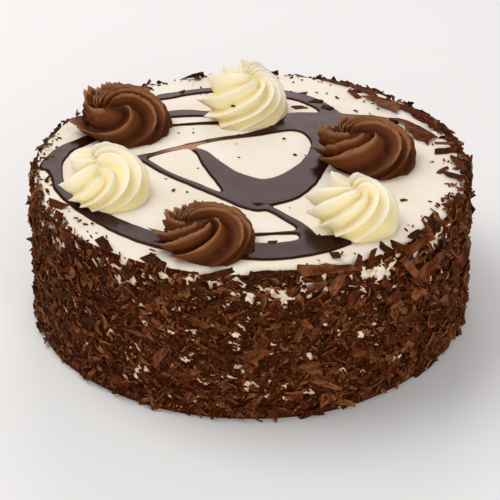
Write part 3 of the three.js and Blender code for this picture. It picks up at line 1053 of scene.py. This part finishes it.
        faces = []
        cells = wet[:-1, :-1] | wet[1:, :-1] | wet[1:, 1:] | wet[:-1, 1:]
        for i, j in np.argwhere(cells).tolist():
            corners = ((i, j), (i + 1, j), (i + 1, j + 1), (i, j + 1))
            loop = []
            for here, there in zip(corners, corners[1:] + corners[:1]):
                if wet[here]:
                    loop.append(spot_number(here, here))
                if wet[here] != wet[there]:
                    loop.append(spot_number(here, there))
            if len(loop) > 2:
                faces.append(loop)
        flat = np.array(spots)
        depth = np.array(depths)
        x, y = flat.T
        film = self.film(x, y, depth)
        ground = sizes.height + sizes.top_rise(x, y)
        upper = np.column_stack([flat, ground + film])
        under = np.column_stack([flat, ground - self.sunk * (depth > 0.0)])
        rim = depth <= 0.0
        number = np.where(rim, np.arange(len(flat)), len(flat) + np.cumsum(~rim) - 1)
        back = [number[face[::-1]].tolist() for face in faces]
        piece = new_piece("ganache", np.vstack([upper, under[~rim]]), faces + back)
        store(piece, film=np.concatenate([film, film[~rim]]) / self.thickness)
        return dress(piece, material, "ganache", "cake")


# --- chocolate shavings ---


@dataclass(frozen=True)
class Shaving:
    """One shaving: sizes in millimetres, bends in degrees, and how many faces run along and across it."""

    length: float
    width: float
    thickness: float = 0.9
    roll: float = 0.0
    bow: float = 0.0
    twist: float = 0.0
    taper: float = 0.3
    ragged: float = 0.12
    along: int = 4
    across: int = 1

    STRAIGHT = 1e-3

    def layer(self, flat_x: Array, flat_y: Array, u: Array, lift: float) -> Array:
        """One side of the shaving, bent.

        Args:
            flat_x: how far along it its points lie before it bends.
            flat_y: how far across it they lie.
            u: how far along it they are, from -0.5 to 0.5.
            lift: how far the side is from its middle.

        Returns:
            The side's points.
        """
        roll = math.radians(self.roll) or self.STRAIGHT
        bow = math.radians(self.bow) or self.STRAIGHT
        roll_radius = self.width / roll
        bow_radius = self.length / bow
        y = (roll_radius + lift) * np.sin(roll * flat_y / self.width)
        z = (roll_radius + lift) * np.cos(roll * flat_y / self.width) - roll_radius
        x = (bow_radius + z) * np.sin(bow * flat_x / self.length)
        z = (bow_radius + z) * np.cos(bow * flat_x / self.length) - bow_radius
        return np.stack([x, *turned(y, z, self.twist * u)], axis=-1).reshape(-1, 3)

    def solid(self, draw: np.random.Generator) -> tuple[Array, list[Face]]:
        """Make the shaving as a thin closed plate.

        Args:
            draw: where its raggedness comes from.

        Returns:
            Its points, in millimetres about its middle, and its faces.
        """
        ends = np.linspace(-0.5, 0.5, self.along + 1)
        u, v = np.meshgrid(ends, np.linspace(-0.5, 0.5, self.across + 1), indexing="ij")
        narrow = 1.0 - self.taper * smooth_rise(-0.1, 0.5, u)
        jitter = draw.uniform(-1.0, 1.0, (2, *u.shape)) * self.ragged
        oblique = draw.uniform(-0.9, 0.9, 2)
        broken = v * np.where(u > 0, oblique[0], oblique[1]) * (np.abs(u) > 0.49)
        flat_x = u * self.length + (jitter[0] + broken) * self.width
        flat_y = (v * narrow + jitter[1]) * self.width
        half = self.thickness / 2
        places = np.concatenate([self.layer(flat_x, flat_y, u, lift) for lift in (half, -half)])
        step = self.across + 1
        count = (self.along + 1) * step
        faces = []
        for i, j in itertools.product(range(self.along), range(self.across)):
            corner = i * step + j
            upper = (corner, corner + step, corner + step + 1, corner + 1)
            faces.append(upper)
            faces.append((count + corner, *(count + spot for spot in upper[:0:-1])))
        grid = np.arange(count).reshape(-1, step)
        border = np.concatenate([grid[:, 0], grid[-1, 1:], grid[-2::-1, -1], grid[0, -2:0:-1]]).tolist()
        for here, there in zip(border, border[1:] + border[:1]):
            faces.append((here, count + here, count + there, there))
        return places, faces

    def highlit_edge_numbers(self) -> Array:
        """For each face of the solid, 1 on its thin edge, which the finish paints paler as a highlight, and
        0 on its two sides.
        """
        return np.repeat([0.0, 1.0], [2 * self.along * self.across, 2 * (self.along + self.across)])


DEGREE = math.pi / 180
PLAIN = 1.0
STREWING_UNITS = {
    **dict.fromkeys(("spacing", "least_lift", "most_lift"), MM),
    **dict.fromkeys(("tilt", "pitch", "spin"), DEGREE),
    **dict.fromkeys(("per_square_metre", "least_cover", "least_scale", "most_scale"), PLAIN),
}


class StrewingMaker(TreeMaker):
    """The nodes that the strewing tree repeats."""

    def __init__(self, tree: Tree) -> None:
        """Start on the tree."""
        super().__init__(tree)
        self.given = self.add("NodeGroupInput").outputs

    def kept(self, name: str) -> Socket:
        """A number kept on the surface."""
        return self.add("GeometryNodeInputNamedAttribute", {"Name": name}, data_type="FLOAT").outputs[0]

    def between(self, low: object, high: object, offset: int) -> Socket:
        """One random number for each point, from low to high."""
        inputs = {2: low, 3: high, "Seed": self.reckon("ADD", self.given["seed"], float(offset))}
        return self.add("FunctionNodeRandomValue", inputs, data_type="FLOAT").outputs[1]

    def both_ways(self, name: str, offset: int) -> Socket:
        """One random number for each point, from minus a given limit to the limit."""
        limit = self.given[name]
        return self.between(self.reckon("MULTIPLY", limit, -1.0), limit, offset)


def strewing_tree() -> Tree:
    """A geometry tree that strews shapes over a surface, each turned, tilted and toned at random.

    Returns:
        The tree, which ends in real mesh with one finish.
    """
    tree = bpy.data.node_groups.new("strew_over_surface", "GeometryNodeTree")
    kinds = {"surface": "Geometry", "shapes": "Collection", "seed": "Int", "finish": "Material"}
    for name, kind in (kinds | dict.fromkeys(STREWING_UNITS, "Float")).items():
        tree.interface.new_socket(name, in_out="INPUT", socket_type=f"NodeSocket{kind}")
    tree.interface.new_socket("strewn", in_out="OUTPUT", socket_type="NodeSocketGeometry")
    maker = StrewingMaker(tree)
    given = maker.given
    cover = maker.reckon("MAXIMUM", maker.kept("coat"), given["least_cover"])
    spacing = {
        "Mesh": given["surface"],
        "Distance Min": given["spacing"],
        "Density Max": given["per_square_metre"],
        "Density Factor": maker.reckon("MULTIPLY", cover, maker.kept("reach")),
        "Seed": given["seed"],
    }
    strewn = maker.add("GeometryNodeDistributePointsOnFaces", spacing, distribute_method="POISSON").outputs
    normal = strewn["Normal"]
    lift = {0: normal, "Scale": maker.between(given["least_lift"], given["most_lift"], 101)}
    offset = maker.add("ShaderNodeVectorMath", lift, operation="SCALE").outputs[0]
    lifted = maker.add("GeometryNodeSetPosition", {"Geometry": strewn["Points"], "Offset": offset})
    upright = maker.add("FunctionNodeAlignRotationToVector", {"Vector": normal}, axis="Z").outputs[0]
    level = maker.add("ShaderNodeVectorMath", {0: (0.0, 0.0, 1.0), 1: normal}, operation="CROSS_PRODUCT")
    facing = {"Rotation": upright, "Vector": level.outputs[0]}
    laid = maker.add("FunctionNodeAlignRotationToVector", facing, axis="X", pivot_axis="Z").outputs[0]
    limits = (("X", "tilt", 202), ("Y", "pitch", 303), ("Z", "spin", 404))
    turns = {axis: maker.both_ways(limit, offset) for axis, limit, offset in limits}
    euler = maker.add("ShaderNodeCombineXYZ", turns).outputs[0]
    rotation = maker.add("FunctionNodeEulerToRotation", {0: euler}).outputs[0]
    spun = {"Rotation": laid, "Rotate By": rotation}
    shapes = {"Collection": given["shapes"], "Separate Children": True, "Reset Children": True}
    which = {4: 0, 5: 97, "Seed": given["seed"]}
    drawn = maker.between(given["least_scale"], given["most_scale"], 505)
    instances = {
        "Points": lifted.outputs[0],
        "Instance": maker.add("GeometryNodeCollectionInfo", shapes).outputs[0],
        "Pick Instance": True,
        "Instance Index": maker.add("FunctionNodeRandomValue", which, data_type="INT").outputs[2],
        "Rotation": maker.add("FunctionNodeRotateRotation", spun, rotation_space="LOCAL").outputs[0],
        "Scale": maker.reckon("MULTIPLY", drawn, maker.kept("grain")),
    }
    placed = maker.add("GeometryNodeInstanceOnPoints", instances).outputs[0]
    tone = {"Geometry": placed, "Name": "tone", "Value": maker.between(0.0, 1.0, 606)}
    toned = maker.add("GeometryNodeStoreNamedAttribute", tone, data_type="FLOAT", domain="INSTANCE")
    real = maker.add("GeometryNodeRealizeInstances", {"Geometry": toned.outputs[0]}).outputs[0]
    finished = maker.add("GeometryNodeSetMaterial", {"Geometry": real, "Material": given["finish"]})
    maker.add("NodeGroupOutput", {0: finished.outputs[0]})
    return tree


@dataclass(frozen=True)
class Strewing:
    """How one kind of shaving is strewn. Lifts and spacing are in millimetres, angles in degrees."""

    name: str
    shapes: tuple[Shaving, ...]
    spacing: float
    per_square_metre: float
    least_lift: float
    most_lift: float
    tilt: float
    pitch: float
    spin: float
    least_scale: float
    most_scale: float
    seed: int
    variants: int
    least_cover: float = 0.0

    def templates(self) -> bpy.types.Collection:
        """The shapes to strew.

        Returns:
            A collection of all of them, each in several variants.
        """
        draw = np.random.default_rng(self.seed)
        collection = bpy.data.collections.new(f"{self.name}_shapes")
        bpy.context.scene.collection.children.link(collection)
        for number, shape in enumerate(self.shapes * self.variants):
            places, faces = shape.solid(draw)
            template = new_piece(f"{self.name}_shape_{number:02d}", places, faces, smooth=False)
            store(template, shade=draw.uniform(0.0, 1.0, len(places)))
            # The edge number marks the faces that the finish paints paler as a highlight.
            store(template, "FACE", edge=shape.highlit_edge_numbers())
            bpy.context.scene.collection.objects.unlink(template)
            collection.objects.link(template)
        return collection

    def spread_on(self, host: Piece, tree: Tree, material: Material) -> Piece:
        """Strew the shapes over a surface and return them as one piece of real mesh.

        Args:
            host: the surface, with the numbers coat, reach and grain on its points.
            tree: the strewing tree.
            material: the shavings' finish.

        Returns:
            The finished piece.
        """
        collection = self.templates()
        modifier = host.modifiers.new("strewing", "NODES")
        modifier.node_group = tree
        values = {"shapes": collection, "seed": self.seed, "finish": material}
        for name, unit in STREWING_UNITS.items():
            values[name] = getattr(self, name) * unit
        for item in tree.interface.items_tree:
            if item.name in values:
                modifier[item.identifier] = values[item.name]
        bpy.context.view_layer.update()
        mesh = bpy.data.meshes.new_from_object(host.evaluated_get(bpy.context.evaluated_depsgraph_get()))
        host.modifiers.remove(modifier)
        for template in list(collection.objects):
            bpy.data.objects.remove(template)
        bpy.data.collections.remove(collection)
        mesh.name = self.name
        return dress(add_object(self.name, mesh), material, "shavings", "cake")


CRUMBS = (Shaving(1.7, 1.2, along=1, ragged=0.2), Shaving(2.4, 1.0, 0.8, along=1, ragged=0.2))
SMALL = (
    Shaving(4.6, 2.0, 0.6, bow=40, along=2, ragged=0.14),
    Shaving(5.5, 1.5, 0.6, roll=60, along=2, ragged=0.14),
    Shaving(3.8, 2.7, 0.6, bow=-30, along=2, ragged=0.14),
)
MEDIUM = (
    Shaving(9.0, 3.2, 0.8, bow=45, taper=0.5, ragged=0.13),
    Shaving(11.0, 2.4, 0.8, roll=70, twist=25, ragged=0.13),
    Shaving(7.0, 4.8, 0.8, bow=-25, twist=-20, taper=0.2, along=3, ragged=0.13),
    Shaving(9.0, 4.0, 0.8, bow=20, twist=35, taper=0.6, ragged=0.13),
    Shaving(6.0, 3.6, 0.8, roll=80, bow=20, along=3, ragged=0.13),
)
LARGE = (
    Shaving(12.0, 4.6, 1.0, bow=30, across=2),
    Shaving(16.0, 3.4, 1.0, roll=80, twist=20, along=5, across=2),
    Shaving(9.0, 5.6, 1.0, bow=-15, twist=-20, taper=0.35, along=3, across=2),
    Shaving(11.0, 4.2, 1.0, roll=120, bow=20, across=3),
)
DUST = (Shaving(1.5, 0.9, 0.6, along=1, ragged=0.2), Shaving(2.2, 0.9, 0.6, along=1, ragged=0.2))
SIDE_STREWINGS = (
    Strewing("side_crumbs", CRUMBS, 0.9, 210000, 0.1, 1.1, 60, 60, 180, 0.6, 1.3, 41, 3),
    Strewing("side_small_shavings", SMALL, 1.6, 120000, 0.3, 1.8, 55, 24, 90, 0.6, 1.2, 42, 3, 0.1),
    Strewing("side_shavings", MEDIUM, 2.9, 52000, 0.7, 2.4, 50, 18, 70, 0.5, 1.1, 43, 4, 0.3),
    Strewing("side_large_shavings", LARGE, 7.5, 7000, 1.2, 2.7, 40, 10, 60, 0.6, 1.0, 44, 4, 0.4),
)
TOP_STREWING = Strewing("top_crumbs", DUST, 0.9, 90000, 0.1, 0.3, 25, 25, 180, 0.35, 1.1, 45, 3)


@dataclass(frozen=True)
class ShavingCoat:
    """The coat of shavings on the side and over the edge, from dust to large curls.

    Each rim step is a stretch along the rim, by its middle and half its width, over which the coat
    ends further in or out.
    """

    sizes: CakeSizes
    coat: Coat
    around: int = 720
    least_height: float = 0.15
    foot_gap: float = 1.2
    inner_end: float = 101.0
    rim_wave: float = 1.2
    rim_steps: tuple[Place, ...] = ((-85, 60, 1.8), (-5, 42, -3), (-165, 45, -1.5), (35, 40, -1))

    def host(self) -> Piece:
        """Make the surface that carries the coat.

        Returns:
            The side and the rounded edge, with the numbers that the strewing tree reads.
        """
        sizes = self.sizes
        angle = all_round(self.around)
        rings = []
        covers = []
        reaches = []
        edge = value_noise(polar_places(angle, 40.0, 0.0), 3.0, 51)
        inner = self.inner_end + self.rim_wave * edge
        for middle, half_width, further in self.rim_steps:
            turn = (angle - math.radians(middle) + math.pi) % (2 * math.pi) - math.pi
            inner = inner + further * smooth_rise(1.0, 0.6, np.abs(turn) / math.radians(half_width))
        for reach, height in sizes.outline():
            if reach <= sizes.top_radius - 9.0 or height <= self.foot_gap:
                continue
            rings.append(polar_places(angle, reach + sizes.wobble_at(angle), height))
            on_side = height < sizes.height - 0.75 * sizes.edge_round
            inward = np.ones_like(angle) if on_side else smooth_rise(0.0, 1.0, (reach - inner) / 1.6)
            reaches.append(np.clip(inward + 0.4 * edge * (1 - inward) - 0.1, 0, 1))
            covers.append(self.coat.cover(angle, height))
        host = new_piece("coat_host", np.vstack(rings), ring_faces(len(rings), self.around))
        fineness = 1.0 - 0.25 * smooth_rise(-0.2, 0.8, -np.cos(angle))
        store(host, coat=np.concatenate(covers), reach=np.concatenate(reaches))
        store(host, grain=np.tile(fineness, len(rings)))
        return host

    def settle(self, piece: Piece) -> None:
        """Lift whatever of a piece would reach below the least height up to it.

        Args:
            piece: the strewn piece.
        """
        places = np.empty(len(piece.data.vertices) * 3, dtype=np.float32)
        piece.data.vertices.foreach_get("co", places)
        places[2::3] = np.maximum(places[2::3], self.least_height * MM)
        piece.data.vertices.foreach_set("co", places)
        piece.data.update()

    def build(self, tree: Tree, material: Material) -> None:
        """Make every kind of shaving on the side.

        Args:
            tree: the strewing tree.
            material: the shavings' finish.
        """
        host = self.host()
        for kind in SIDE_STREWINGS:
            self.settle(kind.spread_on(host, tree, material))
        bpy.data.objects.remove(host)


@dataclass(frozen=True)
class Laid:
    """One large shaving laid along the rim. Angles are in degrees, sizes in millimetres."""

    angle: float
    radius: float
    turn: float
    shape: Shaving
    tilt: float
    lift: float
    tone: float
    slope: float = 0.0


@dataclass(frozen=True)
class LaidShavings:
    """The large shavings and curls along the rim, and the loose flakes that lie on the top.

    Each flake is a place on the top, right and back, with its turn and its length.
    """

    seed: int = 61
    bedding: float = 0.35
    rim: tuple[Laid, ...] = (
        Laid(-97.7, 104.8, 0, Shaving(15, 2.8, 1.0, roll=50, along=6, across=2), 62, -0.8, 0.15, 19),
        Laid(-84.5, 104.6, -1, Shaving(22, 2.8, 1.0, roll=60, bow=10, along=8, across=2), 60, -0.4, 0.1),
        Laid(-71.5, 104.6, 0, Shaving(28, 4.2, 1.0, 50, 14, along=9, across=2), 55, -0.9, 0.75, -7),
        Laid(-64, 105, 0, Shaving(8, 3, roll=60), 65, -1.2, 0.3, 70),
        Laid(-60.5, 105, 0, Shaving(9, 3.2, roll=60), 65, -1.0, 0.45, 62),
        Laid(-55.5, 104, 0, Shaving(8, 3.2, roll=50), 50, 0.4, 0.1, -50),
        Laid(-51.7, 104.2, 0, Shaving(8, 3, roll=50, along=3), 55, -0.4, 0.3, -38),
        Laid(-49.7, 107.6, 0, Shaving(12.5, 3.6, roll=40), 78, -10.5, 0.85, -56),
        Laid(-45.7, 105.6, 0, Shaving(15, 4.4, roll=80, bow=14, along=6, across=2), 60, -2.6, 0.8, 6),
        Laid(-45.4, 103, 5, Shaving(8, 3.6, roll=30, along=3), 20, 1.0, 0.05),
        Laid(-36.5, 102, 82, Shaving(8.5, 3.4, roll=40), 16, 0.8, 0.4),
        Laid(-42, 108.2, 0, Shaving(25, 5.4, 1.0, roll=50, bow=14, along=8, across=2), 80, -15.5, 0.7, 11),
        Laid(41.5, 93.5, 6, Shaving(20, 12.5, 1.0, 25, 10, taper=0.6, along=6, across=2), 12, 1.6, 0.85),
        Laid(53.7, 91.5, -27, Shaving(10, 3.2, roll=40, bow=10), 8, 0.7, 0.5),
        Laid(63, 100, -3, Shaving(18, 3.6, roll=40, bow=12, along=6), 16, 0.7, 0.55),
        Laid(53, 99, -6, Shaving(16, 5.6, roll=60, bow=10, along=5, across=2), 14, 1.0, 0.75),
        Laid(30, 98.5, 6, Shaving(28, 8, 1.0, roll=110, bow=18, along=8, across=3), 16, 1.8, 0.4),
        Laid(19.5, 88.5, 14, Shaving(25, 12, 1.0, 80, 14, 8, taper=0.6, along=8, across=3), 12, 2.4, 0.7),
        Laid(13, 99, -12, Shaving(12, 2.6, roll=60), 30, 2.6, 0.4),
        Laid(15.5, 101, 30, Shaving(9, 2.4, roll=60), 40, 2.8, 0.5),
        Laid(7, 97.5, 80, Shaving(14, 2, 1.0, roll=40), 6, 2.6, 0.95),
        Laid(4.6, 94.5, -85, Shaving(10, 4.2, roll=50), 10, 0.8, 0.2),
        Laid(-3.4, 99.5, 19, Shaving(15, 5, 1.0, roll=120, bow=20, along=6, across=3), 16, 1.6, 0.6),
        Laid(-7.4, 92, -34, Shaving(8, 1.8, roll=40, bow=30), 6, 0.7, 0.6),
        Laid(-10.5, 97, 75, Shaving(9.5, 4.6, roll=60), 10, 1.2, 0.1),
        Laid(107, 100, 14, Shaving(8, 5, roll=60, along=3), 40, 2.0, 0.2),
        Laid(-152, 99, 30, Shaving(9, 4, roll=50), 26, 1.0, 0.6),
        Laid(-128, 102.5, -24, Shaving(12, 4.4, roll=40), 34, 0.4, 0.05),
        Laid(-113, 103, -20, Shaving(12, 4, roll=40), 34, 0.4, 0.1),
    )
    flakes: tuple[tuple[float, float, float, float], ...] = (
        (27.5, 74.5, 20, 4.5), (34.3, 63.8, -10, 6.0), (25.5, 57.9, 5, 6.5), (39.2, 55.9, -30, 6.0),
        (56, 77.5, -24, 5.0), (-35.3, 75.5, 40, 2.6), (-95.2, 3, 80, 3.4), (9.8, -80, 10, 3.2),
        (-35.3, -31.4, 60, 2.2), (69.7, -41.2, 20, 2.6), (21.6, 4, -40, 1.6), (16.7, 21.6, 0, 1.4),
        (-11.6, 62.5, 30, 1.8), (-8.4, 41, -20, 2.2),
    )

    def build(self, material: Material, sizes: CakeSizes, beds: Sequence[Piece]) -> None:
        """Make the shavings on the rim and the flakes on the top, as one piece each.

        Args:
            material: their finish.
            sizes: the cake that they lie on.
            beds: the pieces that a flake may lie on.
        """
        draw = np.random.default_rng(self.seed)
        rim = []
        for laid in self.rim:
            middle = polar_places(math.radians(laid.angle), laid.radius, sizes.height + laid.lift)
            rim.append((laid, middle, 90 + laid.turn + laid.angle))
        self.lay("rim_shavings", rim, draw, material)
        depsgraph = bpy.context.evaluated_depsgraph_get()
        trees = [BVHTree.FromObject(bed, depsgraph) for bed in beds]
        top = []
        for x, y, turn, length in self.flakes:
            above = Vector((x, y, 2 * sizes.height)) * MM
            hits = [tree.ray_cast(above, Vector((0.0, 0.0, -1.0)))[0] for tree in trees]
            height = max(hit.z for hit in hits if hit is not None) / MM
            shape = Shaving(length, 0.5 * length, 0.8, roll=40, along=3)
            flake = Laid(0, 0, 0, shape, tilt=8, lift=0, tone=turn / 120 + 0.4)
            top.append((flake, (x, y, height + self.bedding), turn))
        self.lay("top_flakes", top, draw, material)

    def lay(
        self,
        name: str,
        items: Sequence[tuple[Laid, Place, float]],
        draw: np.random.Generator,
        material: Material,
    ) -> None:
        """Make one piece of shavings laid at given places.

        Args:
            name: the piece's name.
            items: each shaving with its place and its turn.
            draw: where their raggedness comes from.
            material: their finish.
        """
        parts = []
        faces: list[Face] = []
        tones = []
        edges = []
        count = 0
        for laid, middle, turn in items:
            places, part_faces = laid.shape.solid(draw)
            x, y, z = places.T
            x, y = turned(x, y, laid.slope)
            y, z = turned(y, z, laid.tilt)
            x, y = turned(x, y, turn)
            parts.append(np.column_stack([x, y, z]) + np.array(middle))
            faces += [tuple(number + count for number in face) for face in part_faces]
            tones.append(np.full(len(places), laid.tone))
            edges.append(laid.shape.highlit_edge_numbers())
            count += len(places)
        piece = new_piece(name, np.vstack(parts), faces, smooth=False)
        store(piece, tone=np.concatenate(tones), shade=draw.uniform(0.0, 1.0, count))
        # The edge number marks the faces that the finish paints paler as a highlight.
        store(piece, "FACE", edge=np.concatenate(edges))
        dress(piece, material, "shavings", "cake")


@dataclass(frozen=True)
class TopCrumbs:
    """Crumbs fallen on the top: many along the rim, few further in and none on the rosettes."""

    sizes: CakeSizes
    around: int = 240
    rings: int = 60

    def build(self, tree: Tree, material: Material) -> None:
        """Strew the crumbs over the level top.

        Args:
            tree: the strewing tree.
            material: their finish.
        """
        reaches = np.linspace(self.sizes.top_radius - 3.0, 4.0, self.rings)[:, None]
        places = polar_places(all_round(self.around), reaches, self.sizes.height).reshape(-1, 3)
        x, y = places[:, 0], places[:, 1]
        reach = np.hypot(x, y)
        share = 0.05 + 0.06 * smooth_rise(60, 85, reach) + 0.85 * smooth_rise(91, 99.5, reach) ** 2
        share *= 0.6 + 0.4 * np.sin(np.arctan2(y, x))
        for rosette in ROSETTES:
            away = np.hypot(x - rosette.x, y - rosette.y)
            share *= smooth_rise(rosette.radius + 1.0, rosette.radius + 2.0, away)
        host = new_piece("crumb_host", places, ring_faces(self.rings, self.around))
        host.data.flip_normals()
        store(host, coat=share, reach=np.ones(len(places)), grain=np.ones(len(places)))
        TOP_STREWING.spread_on(host, tree, material)
        bpy.data.objects.remove(host)


# --- the studio ---


@dataclass(frozen=True)
class Lamp:
    """One soft square lamp that points at the cake: its place and side in metres, its power in watts."""

    name: str
    place: Place
    size: float
    power: float
    tint: Color

    TARGET = Vector((0.0, 0.0, 0.05))

    def hang(self) -> None:
        """Make the lamp."""
        data = bpy.data.lights.new(self.name, "AREA")
        data.shape = "SQUARE"
        data.size = self.size
        data.energy = self.power
        data.color = self.tint
        lamp = add_object(self.name, data)
        lamp.location = self.place
        lamp.rotation_euler = (self.TARGET - Vector(self.place)).to_track_quat("-Z", "Y").to_euler()


@dataclass(frozen=True)
class Studio:
    """A pale floor, soft light from all round and the camera."""

    lens: float = 104.96
    sensor: float = 36.0
    nearest: float = 10.0
    furthest: float = 50000.0
    aim: Place = (-0.1, 11.5, 17.5)
    distance: float = 738.4
    elevation: float = 30.76
    floor_size: float = 6000.0
    sky: float = 0.425
    lamps: tuple[Lamp, ...] = (
        Lamp("key", (-0.8, 0.3, 1.5), 1.1, 15.0, (1.0, 0.98, 0.95)),
        Lamp("fill", (0.4, -1.6, 0.4), 1.5, 18.5, (1.0, 0.98, 0.96)),
        Lamp("back", (0.0, 2.6, 1.58), 1.3, 22.0, (1.0, 0.85, 0.865)),
    )

    def camera(self) -> None:
        """Place the camera at the photographed height and distance."""
        data = bpy.data.cameras.new("camera")
        data.lens = self.lens
        data.sensor_width = self.sensor
        data.clip_start = self.nearest * MM
        data.clip_end = self.furthest * MM
        camera = add_object("camera", data)
        rise = math.radians(self.elevation)
        away = Vector((0.0, -math.cos(rise), math.sin(rise))) * self.distance
        camera.location = (Vector(self.aim) + away) * MM
        camera.rotation_euler = (math.pi / 2 - rise, 0.0, 0.0)
        bpy.context.scene.camera = camera

    def floor(self, material: Material) -> None:
        """Lay the floor.

        Args:
            material: its finish.
        """
        half = self.floor_size / 2
        corners = ((-half, -half, 0.0), (half, -half, 0.0), (half, half, 0.0), (-half, half, 0.0))
        floor = new_piece("floor", corners, [(0, 1, 2, 3)], smooth=False)
        floor.data.materials.append(material)

    def light(self) -> None:
        """Light the cake softly from all round, most from the upper left and the back."""
        world = bpy.data.worlds.new("studio")
        bpy.context.scene.world = world
        world.use_nodes = True
        background = world.node_tree.nodes["Background"]
        background.inputs["Color"].default_value = (1.0, 1.0, 1.0, 1.0)
        background.inputs["Strength"].default_value = self.sky
        for lamp in self.lamps:
            lamp.hang()
        bpy.context.scene.view_settings.view_transform = "Standard"


# --- building it all ---

ROSETTE_SINK = 0.3


def main() -> None:
    """Build the cake's pieces in order."""
    logging.basicConfig(level=logging.INFO, format="%(name)s %(message)s")
    sizes = CakeSizes()
    coat = Coat(sizes)
    grain = grain_group()
    studio = Studio()
    studio.camera()
    studio.floor(FloorFinish().build())
    studio.light()
    beds = [IcedCake(sizes, coat).build(ICING_FINISH.build(grain))]
    creams = {Cream.CHOCOLATE: CHOCOLATE_FINISH.build(grain), Cream.VANILLA: VANILLA_FINISH.build(grain)}
    beds += [rosette.build(creams[rosette.cream], sizes.height - ROSETTE_SINK) for rosette in ROSETTES]
    beds.append(Drizzle().build(GANACHE_FINISH.build(grain), sizes))
    tree = strewing_tree()
    shavings = SHAVING_FINISH.build(grain)
    ShavingCoat(sizes, coat).build(tree, shavings)
    TopCrumbs(sizes).build(tree, shavings)
    LaidShavings().build(shavings, sizes, beds)
    bpy.data.node_groups.remove(tree)


if __name__ == "__main__":
    main()
